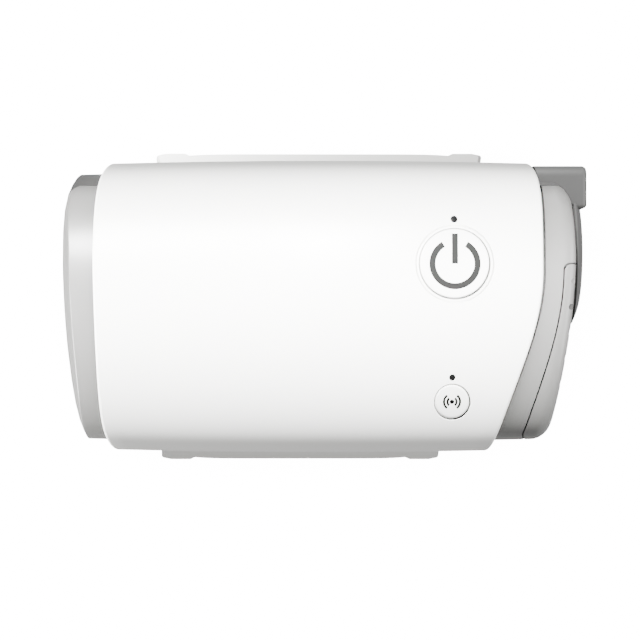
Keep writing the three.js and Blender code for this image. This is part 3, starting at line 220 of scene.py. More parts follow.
def turn_in(y, curve):
    """How far a curve turns in close to the barrel's sides."""
    share = np.minimum(np.abs(y) / SLEEVE_DEPTH, 1)
    return np.where(y > 0, curve["back_turn"], curve["front_turn"]) * share ** curve["turn_power"]


def slant(y, curve):
    """How far a curve slants to the left on its way to the front."""
    share = np.clip((curve["slant_start"] - y) / curve["slant_span"], 0, 1)
    return curve["slant_fall"] * (1 - np.cos(math.pi * share)) / 2


def left_end(y, z):
    return LEFT_END["reach"] + sweep(y, LEFT_END) + rise(z, LEFT_END) + turn_in(y, LEFT_END)


def right_end(y, z):
    return RIGHT_END["reach"] - sweep(y, RIGHT_END) - rise(z, RIGHT_END) - turn_in(y, RIGHT_END)


def left_rim(y):
    return LEFT_RIM["reach"] + sweep(y, LEFT_RIM) + turn_in(y, LEFT_RIM)


def right_rim(y):
    return RIGHT_RIM["reach"] - slant(y, RIGHT_RIM) - turn_in(y, RIGHT_RIM)


def door_line(y):
    return DOOR["reach"] - slant(y, DOOR)


def top_height(x, y):
    """Height of the barrel's top at a place in the plan."""
    share = np.minimum(np.abs(y) / (SLEEVE_DEPTH * bow(x)), 1)
    return AXIS_HEIGHT + SLEEVE_HEIGHT * bow(x) * (1 - share ** SECTION_POWER) ** (1 / SECTION_POWER)


HINGE_Y = -(SLEEVE_DEPTH - INSET) * bow(DOOR["reach"]) + HINGE["skin"]
HINGE_X = float(door_line(HINGE_Y)) + HINGE["turn"]
OUTLET_AXIS = (0, AIR_Y, AIR_Z)
HINGE_AXIS = (HINGE_X, HINGE_Y, 0)
SOCKET_AXIS = (0, SOCKET_Y, AXIS_HEIGHT)


# Solids

def make(name, points, faces):
    mesh = bpy.data.meshes.new(name)
    mesh.from_pydata([tuple(p) for p in points], [], faces)
    mesh.validate()
    obj = bpy.data.objects.new(name, mesh)
    bpy.context.scene.collection.objects.link(obj)
    edit = bmesh.new()
    edit.from_mesh(mesh)
    bmesh.ops.remove_doubles(edit, verts=edit.verts, dist=WELD_DISTANCE)
    bmesh.ops.recalc_face_normals(edit, faces=edit.faces)
    if edit.calc_volume(signed=True) < 0:
        bmesh.ops.reverse_faces(edit, faces=edit.faces)
    edit.to_mesh(mesh)
    edit.free()
    return obj


def sides(row_count, count, is_tube=False):
    """Faces between each row of points and the next, where all rows have the same count."""
    faces = []
    for i in range(row_count if is_tube else row_count - 1):
        near, far = i * count, (i + 1) % row_count * count
        for j in range(count):
            k = (j + 1) % count
            faces.append((near + j, near + k, far + k, far + j))
    return faces


def ring(half_depth, half_height, place_at):
    """The section at a size and at the x that place_at gives for y and z."""
    y = half_depth * SECTION_Y
    z = half_height * SECTION_Z
    x = place_at(y, z)
    return np.stack([x, y * bow(x), AXIS_HEIGHT + z * bow(x)], axis=1)


def loft(name, rings, is_tube=False):
    """A solid through rings. A tube's last ring meets its first, else a fan closes each end."""
    count = len(rings[0])
    points = [p for r in rings for p in r]
    faces = sides(len(rings), count, is_tube)
    if not is_tube:
        for first in (0, (len(rings) - 1) * count):
            points.append(sum(points[first:first + count]) / count)
            centre = len(points) - 1
            faces += [(centre, first + j, first + (j + 1) % count) for j in range(count)]
    return make(name, points, faces)


def stacked(name, rows):
    """A solid through rows of points, closed by a flat face at each end."""
    count = len(rows[0])
    last = count * (len(rows) - 1)
    faces = [tuple(range(count)), tuple(range(last, last + count))]
    return make(name, [p for row in rows for p in row], faces + sides(len(rows), count))


def prism(name, outline, axis, low, high):
    """An outline extruded along an axis. Its coordinates are y, z along x; z, x along y; x, y along z."""
    order = {"x": (2, 0, 1), "y": (1, 2, 0), "z": (0, 1, 2)}[axis]
    rows = []
    for place in (low, high):
        rows.append([tuple((u, v, place)[i] for i in order) for u, v in outline])
    return stacked(name, rows)


def box(x0, x1, y0, y1, z0, z1):
    return prism("box", [(x0, y0), (x1, y0), (x1, y1), (x0, y1)], "z", z0, z1)


def between(rows, turns):
    """Faces between the rows of a round solid, where a row of one point is a pole."""
    faces = []
    for low, high in zip(rows, rows[1:]):
        for i in range(turns):
            j = (i + 1) % turns
            if len(low) == 1 and len(high) == 1:
                continue
            if len(low) == 1:
                faces.append((low[0], high[i], high[j]))
            elif len(high) == 1:
                faces.append((low[i], low[j], high[0]))
            else:
                faces.append((low[i], low[j], high[j], high[i]))
    return faces


def circle(radius, turns):
    """Points about the origin, or the origin alone where the radius is nothing."""
    angles = [2 * math.pi * i / turns for i in range(turns if radius > 0 else 1)]
    return [(radius * math.cos(angle), radius * math.sin(angle)) for angle in angles]


def numbered(circles):
    """The points of all circles in one list, and each circle's numbers in it."""
    points, rows = [], []
    for row in circles:
        rows.append(list(range(len(points), len(points) + len(row))))
        points += row
    return points, rows


def turned(name, profile, axis, centre, turns):
    """A profile of (radius, place) turned about an axis. Points of no radius close it."""
    circles = []
    for radius, place in profile:
        row = []
        for a, b in circle(radius, turns):
            local = {"x": (place, a, b), "y": (b, place, a), "z": (a, b, place)}[axis]
            row.append(tuple(local[k] + centre[k] for k in range(3)))
        circles.append(row)
    points, rows = numbered(circles)
    return make(name, points, between(rows, turns))


def rod(radius, low, high, axis, centre, turns=TURNS):
    return turned("rod", [(0, low), (radius, low), (radius, high), (0, high)], axis, centre, turns)


def on_surface(name, x, y, profile, turns):
    """A round solid whose heights follow the barrel's top. A profile point is (radius, rise) above
    the surface, or (radius, None, height) at a plain height."""
    circles = []
    for radius, rising, *height in profile:
        row = []
        for a, b in circle(radius, turns):
            px, py = x + a, y + b
            row.append((px, py, height[0] if rising is None else float(top_height(px, py)) + rising))
        circles.append(row)
    points, rows = numbered(circles)
    return make(name, points, between(rows, turns))


def rounding(radius, steps):
    """Even steps along a rounded edge, as two distances: one grows from nothing to the radius, while
    the other falls from the radius to nothing."""
    angles = [math.pi / 2 * i / steps for i in range(steps + 1)]
    return [(radius * (1 - math.cos(angle)), radius * (1 - math.sin(angle))) for angle in angles]


def arc(centre, radius, start, end, steps):
    """Points along an arc, whose angles are in degrees."""
    points = []
    for i in range(steps + 1):
        angle = math.radians(start + (end - start) * i / steps)
        points.append((centre[0] + radius * math.cos(angle), centre[1] + radius * math.sin(angle)))
    return points


def rounded(u0, u1, v0, v1, radius):
    """The outline of a rectangle with round corners."""
    corners = [
        (u1 - radius, v0 + radius), (u1 - radius, v1 - radius),
        (u0 + radius, v1 - radius), (u0 + radius, v0 + radius),
    ]
    outline = []
    for quarter, corner in enumerate(corners):
        start = 90 * (quarter - 1)
        outline += arc(corner, radius, start, start + 90, CORNER_STEPS)
    return outline


def with_modifiers(obj):
    """The object with its modifiers made part of its mesh."""
    graph = bpy.context.evaluated_depsgraph_get()
    mesh = bpy.data.meshes.new_from_object(obj.evaluated_get(graph))
    old = obj.data
    obj.modifiers.clear()
    obj.data = mesh
    bpy.data.meshes.remove(old)
    return obj


def combine(obj, tool, how):
    modifier = obj.modifiers.new("combine", "BOOLEAN")
    modifier.operation, modifier.solver, modifier.object = how, "MANIFOLD", tool
    with_modifiers(obj)
    mesh = tool.data
    bpy.data.objects.remove(tool)
    bpy.data.meshes.remove(mesh)
    if not obj.data.polygons:
        raise RuntimeError(f"nothing is left of {obj.name}")
    return obj


def cut(obj, *tools):
    for tool in tools:
        combine(obj, tool, "DIFFERENCE")
    return obj


def joined(obj, *others):
    for other in others:
        combine(obj, other, "UNION")
    return obj


def common(obj, tool):
    return combine(obj, tool, "INTERSECT")


def copy_of(obj):
    twin = obj.copy()
    twin.data = obj.data.copy()
    bpy.context.scene.collection.objects.link(twin)
    return twin


def bevelled(obj, width, segments, degrees):
    modifier = obj.modifiers.new("edges", "BEVEL")
    modifier.width, modifier.segments, modifier.limit_method = width, segments, "ANGLE"
    modifier.angle_limit = math.radians(degrees)
    return with_modifiers(obj)


# Materials

DRIFT_SCALE, DRIFT_DETAIL, SPECKLE_DETAIL = 45.0, 3.0, 2.0
ROUGHNESS_DRIFT = 0.04

# Numbers of the mix node's colour sockets
MIX_FACTOR, MIX_FIRST, MIX_SECOND, MIX_RESULT = 0, 6, 7, 2


def node(tree, kind, **values):
    made = tree.nodes.new(kind)
    for key, value in values.items():
        if hasattr(made, key):
            setattr(made, key, value)
        else:
            made.inputs[key.replace("_", " ")].default_value = value
    return made


def moulded(name, colour, roughness, grain=0.22, relief=0.05, tint=0.03, metallic=0.0, gloss=0.5):
    """Moulded or cast material: a fine grain in relief, and slight drifts of shade and gloss."""
    material = bpy.data.materials.new(name)
    material.use_nodes = True
    tree = material.node_tree
    shader = tree.nodes["Principled BSDF"]
    shader.inputs["Metallic"].default_value = metallic
    shader.inputs["Specular IOR Level"].default_value = gloss
    place = node(tree, "ShaderNodeTexCoord")
    drift = node(tree, "ShaderNodeTexNoise", Scale=DRIFT_SCALE, Detail=DRIFT_DETAIL)
    tree.links.new(place.outputs["Object"], drift.inputs["Vector"])
    shade = node(tree, "ShaderNodeMix", data_type="RGBA")
    shade.inputs[MIX_FIRST].default_value = (*[c * (1 - tint) for c in colour], 1)
    shade.inputs[MIX_SECOND].default_value = (*[min(c * (1 + tint), 1) for c in colour], 1)
    tree.links.new(drift.outputs["Fac"], shade.inputs[MIX_FACTOR])
    tree.links.new(shade.outputs[MIX_RESULT], shader.inputs["Base Color"])
    polish = node(tree, "ShaderNodeMapRange")
    polish.inputs["To Min"].default_value = roughness - ROUGHNESS_DRIFT
    polish.inputs["To Max"].default_value = roughness + ROUGHNESS_DRIFT
    tree.links.new(drift.outputs["Fac"], polish.inputs["Value"])
    tree.links.new(polish.outputs["Result"], shader.inputs["Roughness"])
    speckle = node(tree, "ShaderNodeTexNoise", Scale=1 / (grain * MM), Detail=SPECKLE_DETAIL)
    tree.links.new(place.outputs["Object"], speckle.inputs["Vector"])
    bump = node(tree, "ShaderNodeBump", Strength=relief, Distance=grain * MM)
    tree.links.new(speckle.outputs["Fac"], bump.inputs["Height"])
    tree.links.new(bump.outputs["Normal"], shader.inputs["Normal"])
    return material


# The parts' material slots, then the prints on the buttons and the floor
LOOKS = {
    "white_plastic": {"colour": (0.9, 0.898, 0.872), "roughness": 0.38, "tint": 0.006, "relief": 0.02},
    "light_grey_plastic": {"colour": (0.136, 0.135, 0.1305), "roughness": 0.3, "tint": 0.015},
    "dark_grey_plastic": {"colour": (0.054, 0.054, 0.053), "roughness": 0.5, "gloss": 0.2},
    "black_plastic": {"colour": (0.03, 0.03, 0.033), "roughness": 0.42, "tint": 0.1},
    "lens": {"colour": (0.004, 0.004, 0.004), "roughness": 0.3, "relief": 0.0, "tint": 0.0, "gloss": 0.2},
    "rubber": {"colour": (0.07, 0.07, 0.072), "roughness": 0.75, "grain": 0.35, "relief": 0.25, "tint": 0.12},
    "silicone": {"colour": (0.5, 0.56, 0.6), "roughness": 0.55, "tint": 0.04},
    "steel": {"colour": (0.5, 0.51, 0.53), "roughness": 0.32, "grain": 0.1, "metallic": 1.0},
    "copper": {"colour": (0.5, 0.2, 0.08), "roughness": 0.4, "grain": 0.3, "relief": 0.3, "metallic": 0.8},
    "circuit_board": {"colour": (0.02, 0.12, 0.055), "roughness": 0.4, "grain": 0.5, "tint": 0.12},
    "filter_felt": {"colour": (0.78, 0.8, 0.8), "roughness": 0.95, "grain": 0.4, "relief": 0.9, "tint": 0.06},
    "foam": {"colour": (0.1, 0.1, 0.11), "roughness": 0.95, "grain": 0.8, "relief": 1.0, "tint": 0.25},
    "symbol_print": {"colour": (0.0135, 0.0135, 0.013), "roughness": 0.7, "tint": 0.02, "gloss": 0.08},
    "small_symbol_print": {"colour": (0.006, 0.006, 0.0058), "roughness": 0.7, "tint": 0.02, "gloss": 0.05},
    "floor": {"colour": (0.93, 0.93, 0.93), "roughness": 0.7, "grain": 1.0, "relief": 0.0, "tint": 0.004},
}
FINISHES = {name: moulded(name, **look) for name, look in LOOKS.items()}

for sub in frame["record"]["subparts"]:
    carried = frame["nodes"][sub["node"]]
    carried.data.materials.clear()
    carried.data.materials.append(FINISHES[sub["material_slot"]])


def to_metres(obj):
    obj.data.transform(Matrix.Scale(MM, 4))


def finished(obj, name, body, slot, stands_for=(), look=None):
    """Scales a solid to metres, smooths it, gives it the material of its slot or of a given look, puts it on
    its body, and hides the parts that it stands for.
    """
    obj.name = obj.data.name = name
    to_metres(obj)
    obj.data.shade_smooth()
    obj.data.set_sharp_from_angle(angle=math.radians(SMOOTH_DEGREES))
    obj.data.materials.clear()
    obj.data.materials.append(FINISHES[look or slot])
    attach(obj, body)
    if stands_for:
        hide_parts(*stands_for)


# Camera and light

CAMERA = {
    "height": 0.622, "lens": 126.7, "sensor": 36, "shift_x": -0.00453, "shift_y": -0.0211, "clip": 0.01,
}
FLOOR_HALF, FLOOR_THICKNESS = 1500, 8
ROOM_STRENGTH = 0.6

# Soft boxes: the place of each, the point that it faces, its width and depth, and its watts
SOFTBOXES = {
    "backdrop_light": ((0, 0, 1.2), (0, 0, 0), (3, 3), 800),
    "over": ((0, 0.011, 0.1), (0, 0.009, 0), (0.3, 0.02), 1.2),
    "sheen": ((-0.045, 0.034, 0.105), (-0.045, 0.017, 0.049), (0.13, 0.012), 1.15),
    "back": ((0, 0.6, 0.25), (0, 0, 0.03), (0.6, 0.3), 3),
    "left_fill": ((-0.45, -0.1, 0.04), (0, 0, 0.03), (0.2, 0.2), 16),
    "rim_fill": ((-0.45, 0, 0.03), (0, 0, 0.03), (0.2, 0.1), 14),
    "base_fill": ((-0.07, 0.08, 0.04), (-0.04, 0.04, 0.003), (0.03, 0.03), 0.25),
    "rear_fill": ((0, 0.4, 0.3), (0, 0, 0.03), (0.3, 0.2), 7.5),
    "right_fill": ((0.42, -0.02, 0.38), (0.06, 0.02, 0.03), (0.3, 0.2), 6),
    "end_fill": ((0.6, 0, 0.02), (0.06, 0, 0.03), (0.3, 0.1), 2),
}

camera_data = bpy.data.cameras.new("camera")
camera_data.lens, camera_data.sensor_width = CAMERA["lens"], CAMERA["sensor"]
camera_data.shift_x, camera_data.shift_y = CAMERA["shift_x"], CAMERA["shift_y"]
camera_data.clip_start = CAMERA["clip"]
camera = bpy.data.objects.new("camera", camera_data)
camera.location = (0, 0, CAMERA["height"])
bpy.context.scene.collection.objects.link(camera)
bpy.context.scene.camera = camera


def softbox(name, place, aim, size, watts):
    data = bpy.data.lights.new(name, "AREA")
    data.shape, data.energy = "RECTANGLE", watts
    data.size, data.size_y = size
    light = bpy.data.objects.new(name, data)
    light.location = place
    light.rotation_euler = (Vector(aim) - Vector(place)).to_track_quat("-Z", "Y").to_euler()
    light.visible_camera = False
    bpy.context.scene.collection.objects.link(light)
    return light


def group_of(name, pieces, state):
    """A collection that a light reads as the pieces to light, or as those to leave out."""
    group = bpy.data.collections.new(name)
    for piece in pieces:
        group.objects.link(piece)
    for linked in group.collection_objects:
        linked.light_linking.link_state = state
    return group


floor = box(-FLOOR_HALF, FLOOR_HALF, -FLOOR_HALF, FLOOR_HALF, -FLOOR_THICKNESS, 0)
to_metres(floor)
floor.name = "floor"
floor.data.materials.append(FINISHES["floor"])
floor.visible_diffuse = floor.visible_glossy = False

lights = {name: softbox(name, *values) for name, values in SOFTBOXES.items()}
lights["over"].visible_glossy = False
lights["sheen"].visible_diffuse = False

world = bpy.data.worlds.new("room")
world.use_nodes = True
world.node_tree.nodes["Background"].inputs["Color"].default_value = (1, 1, 1, 1)
world.node_tree.nodes["Background"].inputs["Strength"].default_value = ROOM_STRENGTH
bpy.context.scene.world = world


# Outer sleeve, with the holes of the buttons and the light pipes

def rim_ring(inset, share, drawn):
    """A ring a share of the way from the left rim to the right one, both drawn in along the machine."""
    return ring(
        SLEEVE_DEPTH - inset, SLEEVE_HEIGHT - inset,
        lambda y, z: (left_rim(y) + drawn) * (1 - share) + (right_rim(y) - drawn) * share,
    )


def sleeve_rings():
    """Rings round the wall: along the outside, round the right rim, back inside, round the left rim."""
    outer, inner = rounding(RIM_ROUND, RIM_STEPS), rounding(INNER_ROUND, RIM_STEPS)
    rings = [rim_ring(0, i / SLEEVE_STATIONS, RIM_ROUND) for i in range(SLEEVE_STATIONS + 1)]
    rings += [rim_ring(inset, 1, drawn) for inset, drawn in outer[1:]]
    rings += [rim_ring(SLEEVE_WALL - inset, 1, drawn) for drawn, inset in inner]
    rings += [rim_ring(SLEEVE_WALL, 1 - i / SLEEVE_STATIONS, INNER_ROUND) for i in range(1, SLEEVE_STATIONS)]
    rings += [rim_ring(SLEEVE_WALL - inset, 0, drawn) for inset, drawn in inner]
    rings += [rim_ring(inset, 0, drawn) for drawn, inset in outer[:-1]]
    return rings


def hole(x, y, edge, turns):
    """The tool for a round hole in the sleeve. Its edge runs outwards from the hole's wall."""
    inner, outer = edge[0][0], edge[-1][0]
    start = [(0, None, HOLE_BOTTOM), (inner, None, HOLE_BOTTOM)]
    end = [(outer, None, SKY), (0, None, SKY)]
    return on_surface("tool", x, y, start + edge + end, turns)


def button_hole(button, edge, turns):
    return hole(button["x"] + button["hole_shift"], button["y"] - button["hole_shift"], edge, turns)


def light_hole(x, y, radius):
    return hole(x, y, [(radius + past, rising) for past, rising in LENS_EDGE], SMALL_TURNS)


sleeve = cut(
    loft("sleeve", sleeve_rings(), is_tube=True),
    button_hole(POWER, POWER_DISH, BUTTON_TURNS),
    button_hole(WIRELESS, WIRELESS_EDGE, TURNS),
    *[light_hole(*light) for light in LIGHTS.values()],
)
finished(sleeve, "sleeve_shell", "shell", "white_plastic", ["outer_sleeve"])


# Buttons, with the cap's edge rounded over, and the light pipes

def button_cap(name, button, body, stands_for):
    radius, flange, edge, proud = button["radius"], button["flange"], button["edge"], BUTTON["proud"]
    profile = [(radius * share, proud + crown) for share, crown in CROWN]
    profile += [(radius - drawn, proud - drop) for drop, drawn in rounding(edge, BUTTON_EDGE_STEPS)]
    profile += [
        (radius, BUTTON["skirt"]), (flange, BUTTON["skirt"]), (flange, BUTTON["flange_bottom"]),
        (BUTTON["stem"], BUTTON["flange_bottom"]), (BUTTON["stem"], None, BUTTON["stem_bottom"]),
        (0, None, BUTTON["stem_bottom"]),
    ]
    cap = on_surface(name, button["x"], button["y"], profile, BUTTON_TURNS)
    finished(cap, name, body, "white_plastic", [stands_for])


button_cap("power_key_cap", POWER, "power_key", "power_button")
button_cap("wireless_key_cap", WIRELESS, "wireless_key", "wireless_button")

for name, (x, y, radius) in LIGHTS.items():
    profile = [(radius * share, rising) for share, rising in LENS_DOME]
    profile += [(radius, None, LENS_BOTTOM), (0, None, LENS_BOTTOM)]
    lens = on_surface("lens", x, y, profile, SMALL_TURNS)
    finished(lens, f"{name}_light_lens", "shell", "lens", [f"{name}_light_pipe"])


# Signs printed on the buttons: a standby sign, and radio waves round a dot

def printed(name, outlines, x, y, look, body):
    """Flat strokes that follow the button's surface. An outline is two rows of points, side by side."""
    points, faces = [], []
    for row_a, row_b in outlines:
        first = len(points)
        count = len(row_a)
        for lift in (SIGN_THICKNESS, -SIGN_THICKNESS):
            for u, v in row_a + row_b:
                points.append((x + u, y + v, float(top_height(x + u, y + v)) + SIGN_RISE + lift))
        for i in range(count - 1):
            a, b, c, d = (first + k * count + i for k in range(4))
            faces += [(a, a + 1, b + 1, b), (c, d, d + 1, c + 1)]
            faces += [(a, c, c + 1, a + 1), (b, b + 1, d + 1, d)]
        for i in (0, count - 1):
            a, b, c, d = (first + k * count + i for k in range(4))
            faces.append((a, b, d, c))
    finished(make(name, points, faces), name, body, "dark_grey_plastic", look=look)


def arc_stroke(radius, width, start, end, steps):
    return [arc((0, 0), r, start, end, steps) for r in (radius + width / 2, radius - width / 2)]


def bar_stroke(width, top, steps):
    heights = [top * i / steps for i in range(steps + 1)]
    return [[(u, height) for height in heights] for u in (-width / 2, width / 2)]


standby = [
    arc_stroke(STANDBY["radius"], STANDBY["stroke"], STANDBY["start"], STANDBY["end"], STANDBY_STEPS),
    bar_stroke(STANDBY["stroke"], STANDBY["bar_top"], BAR_STEPS),
]
sign_x, sign_y = POWER["x"] + STANDBY["shift"], POWER["y"] - STANDBY["shift"]
printed("standby_symbol", standby, sign_x, sign_y, "symbol_print", "power_key")

waves = [arc_stroke(RADIO["dot"] / 2, RADIO["dot"], 0, 360, DOT_STEPS)]
for radius in RADIO["waves"]:
    for middle in (0, 180):
        start, end = middle - RADIO["half_angle"], middle + RADIO["half_angle"]
        waves.append(arc_stroke(radius, RADIO["stroke"], start, end, WAVE_STEPS))
printed("radio_symbol", waves, WIRELESS["x"], WIRELESS["y"], "small_symbol_print", "wireless_key")


# Forms of the housing, and the spaces that part it

def housing_form(inset, stations=BARREL_STATIONS):
    """The housing's outer form, drawn in by an inset: its left end is crisp and its right end soft."""
    depth, height = SLEEVE_DEPTH - INSET - inset, SLEEVE_HEIGHT - INSET - inset
    fillet = END_FILLET - inset / 2

    def start(y, z):
        return left_end(y, z) + inset

    def finish(y, z):
        return right_end(y, z) - inset

    def at(drawn, share, after_start, before_finish):
        return ring(
            depth - drawn, height - drawn,
            lambda y, z: (start(y, z) + after_start) * (1 - share) + (finish(y, z) - before_finish) * share,
        )

    rings = [ring(depth * s, height * s, start) for s in DOME_SHARES]
    rings += [at(drawn, 0, after, 0) for after, drawn in rounding(CRISP_EDGE, CRISP_STEPS)]
    rings += [at(0, i / stations, CRISP_EDGE, fillet) for i in range(1, stations)]
    rings += [at(drawn, 1, 0, before) for drawn, before in rounding(fillet, FILLET_STEPS)]
    rings += [ring((depth - fillet) * s, (height - fillet) * s, finish) for s in reversed(DOME_SHARES)]
    return loft("housing", rings)


def land():
    """The part of the housing that the sleeve sits on."""
    rings = [rim_ring(LAND_INSET, i / SPACE_STATIONS, LAND_START) for i in range(SPACE_STATIONS + 1)]
    return loft("land", rings)


def tube_space(outside, inside, start, finish):
    """A hollow barrel between two insets from the sleeve's outside, and between two rims."""
    rings = []
    for inset, order in ((outside, 1), (inside, -1)):
        part = []
        for i in range(SPACE_STATIONS + 1):
            share = i / SPACE_STATIONS
            part.append(ring(
                SLEEVE_DEPTH - inset, SLEEVE_HEIGHT - inset,
                lambda y, z: start(y) * (1 - share) + finish(y) * share,
            ))
        rings += part[::order]
    return loft("tube_space", rings, is_tube=True)


def rim_groove():
    """The shadow gap beside the sleeve's right rim."""
    def finish(y):
        share = np.interp(y, (GROOVE["narrow_at"], GROOVE["full_at"]), (GROOVE["narrow_share"], 1))
        return right_rim(y) + GROOVE["width"] * share

    return tube_space(
        INSET - GROOVE["above"], INSET + GROOVE["depth"], lambda y: right_rim(y) - GAP, finish,
    )


def door_space(grow):
    """The plan right of the door line, with the front corner rolled round the hinge pin."""
    back, corner = DOOR["back"], DOOR["corner"]
    line = float(door_line(back)) - grow
    outline = [(HINGE_X, FAR_FRONT), (FAR_X, FAR_FRONT), (FAR_X, back + grow)]
    outline += arc((line + corner, back + grow - corner), corner, 90, 180, CORNER_STEPS)
    for i in range(1, DOOR_LINE_STEPS + 1):
        y = back - corner + (HINGE_Y - back + corner) * i / DOOR_LINE_STEPS
        outline.append((float(door_line(y)) - grow, y))
    outline += arc(HINGE_AXIS, HINGE["turn"] + grow, 180, 270, HINGE_STEPS)[1:]
    return prism("door_space", outline, "z", 0, SKY)


def bay_space(grow):
    """The door's space without that of the collar."""
    return cut(door_space(grow), rod(COLLAR["radius"] + GAP, 0, FAR_X, "x", OUTLET_AXIS))


def block_space(grow):
    """The space of the inlet's block and of all to the right of it."""
    outline = rounded(
        BLOCK["front"] - grow, BLOCK["back"] + grow, BLOCK["bottom"] - grow, BLOCK["top"] + grow,
        BLOCK["corner"],
    )
    return prism("block_space", outline, "x", BLOCK["inner"] - grow, FAR_X)


def behind_seam(grow):
    """The plan behind the seam of the two housings."""
    seam_y = SPLIT_Y + grow
    outline = [
        (BEHIND_SEAM["right"], seam_y), (BEHIND_SEAM["right"], BEHIND_SEAM["back"]),
        (BEHIND_SEAM["left"], BEHIND_SEAM["back"]),
    ]
    for i in range(SEAM_STEPS + 1):
        x = SEAM["end"] + (SEAM["turns_at"] - SEAM["end"]) * i / SEAM_STEPS
        drop = SEAM["drop"] * ((SEAM["turns_at"] - x) / SEAM["reach"]) ** SEAM["power"]
        outline.append((x, seam_y - drop))
    return prism("behind_seam", outline, "z", 0, SKY)


def ear(low, high, grow):
    """An ear that holds the hinge pin, round at its right end."""
    radius = HINGE["knuckle"] + grow
    left = HINGE_X - EAR["reach"]
    outline = [(left, HINGE_Y - radius)]
    outline += arc(HINGE_AXIS, radius, -90, 90, EAR_STEPS)
    outline.append((left, HINGE_Y + radius))
    return prism("ear", outline, "z", low - grow, high + grow)


# Front housing

hollow = cut(housing_form(HOUSING_WALL, COARSE_STATIONS), door_space(HOUSING_WALL))
shell_form = cut(joined(housing_form(0), land()), hollow)

front = cut(
    copy_of(shell_form),
    behind_seam(0),
    bay_space(SEAM_GAP),
    block_space(GAP),
    box(*FILTER_WINDOW),
    box(*DOOR_END_GAP),
    rim_groove(),
)
joined(front, *[common(ear(low, high, 0), housing_form(0)) for low, high in EARS])
cut(
    front,
    rod(EAR["bore"], 0, PIN_TOP + GAP, "z", HINGE_AXIS, SMALL_TURNS),
    rod(COLLAR["bore"], PORT_START, FAR_X, "x", OUTLET_AXIS),
    *[rod(b["radius"] + GAP, AXIS_HEIGHT, SKY, "z", (b["x"], b["y"], 0)) for b in (POWER, WIRELESS)],
    *[rod(r + LENS_GAP, AXIS_HEIGHT, SKY, "z", (x, y, 0), SMALL_TURNS) for x, y, r in LIGHTS.values()],
)
finished(front, "front_shell", "shell", "light_grey_plastic", ["front_housing"])


# Rear housing with the power inlet's block

def inlet_block():
    """The block, with a slope along its top's back edge."""
    front_y, back_y = BLOCK["front"], BLOCK["back"] + BLOCK["farther_back"]
    low, high, slope = BLOCK["bottom"], BLOCK["top"], BLOCK["slope"]
    outline = [(front_y, low), (back_y, low), (back_y, high - slope), (back_y - slope, high), (front_y, high)]
    block = prism("block", outline, "x", BLOCK["inner"], BLOCK["face"])
    return bevelled(block, BLOCK["bevel"], BLOCK["bevel_steps"], BLOCK["bevel_degrees"])


def sleeve_space():
    """The sleeve's wall with a gap all round it."""
    return tube_space(-GAP, LAND_INSET, lambda y: left_rim(y) - GAP, lambda y: right_rim(y) + GAP)


rear = joined(
    cut(common(shell_form, behind_seam(SEAM_GAP)), block_space(0)),
    cut(inlet_block(), sleeve_space()),
)
cut(rear, rod(SOCKET_RADIUS, 0, FAR_X, "x", SOCKET_AXIS))
finished(rear, "rear_shell", "shell", "dark_grey_plastic", ["rear_housing"])


# Filter door with its air slots and hinge knuckle

panel = common(cut(housing_form(0), housing_form(DOOR["wall"], COARSE_STATIONS)), bay_space(-GAP))
knuckle = common(rod(HINGE["knuckle"], HINGE["low"], HINGE["high"], "z", HINGE_AXIS), housing_form(0))
joined(panel, knuckle)
cut(
    panel,
    rod(HINGE["bore"], 0, EARS[1][0], "z", HINGE_AXIS, SMALL_TURNS),
    *[ear(low, high, GAP) for low, high in EARS],
)
for i in range(SLOT["count"]):
    y = SLOT["first"] - i * SLOT["pitch"]
    near, far = y - SLOT["width"] / 2, y + SLOT["width"] / 2
    top = SLOT["collar_top"] if y > AIR_Y - COLLAR["radius"] else SLOT["top"]
    outline = rounded(near, far, SLOT["bottom"], top, SLOT["width"] * SLOT["roundness"])
    cut(panel, prism("slot", outline, "x", float(right_end(y, 0)) - SLOT["depth"], FAR_X))
finished(panel, "door_panel", "door", "light_grey_plastic", ["filter_door"])


# The outlet's domed collar, in a rebate with a shadow line behind it

def collar():
    """The outer edge is rounded over, and a dome rises from it to the flat rim of the bore."""
    bore, radius, root, face = COLLAR["bore"], COLLAR["radius"], COLLAR["root"], COLLAR["face"]
    rim, dome_radius = bore + COLLAR["rim_width"], radius - COLLAR["edge"]
    dome_start = COLLAR["shoulder"] + COLLAR["edge"]
    profile = [(bore, root), (radius, root)]
    for drawn, drop in rounding(COLLAR["edge"], COLLAR_EDGE_STEPS):
        profile.append((radius - drawn, dome_start - drop))
    for i in range(1, COLLAR_DOME_STEPS + 1):
        share = i / COLLAR_DOME_STEPS
        risen = (face - dome_start) * math.sin(math.pi / 2 * share)
        profile.append((dome_radius - (dome_radius - rim) * share, dome_start + risen))
    profile += [(bore + past, face - under) for past, under in BORE_EDGE]
    profile.append((bore, root))
    return turned("collar", profile, "x", OUTLET_AXIS, COLLAR_TURNS)


rebate = cut(
    housing_form(-COLLAR["rebate_depth"]),
    rod(COLLAR["radius"] - COLLAR["rebate_width"], COLLAR["rebate_start"], FAR_X, "x", OUTLET_AXIS),
)
outlet_ring = cut(collar(), housing_form(-COLLAR["seat"]), block_space(COLLAR["block_gap"]), rebate)
finished(outlet_ring, "collar_dome", "shell", "dark_grey_plastic", ["outlet_collar"])


# Base plate

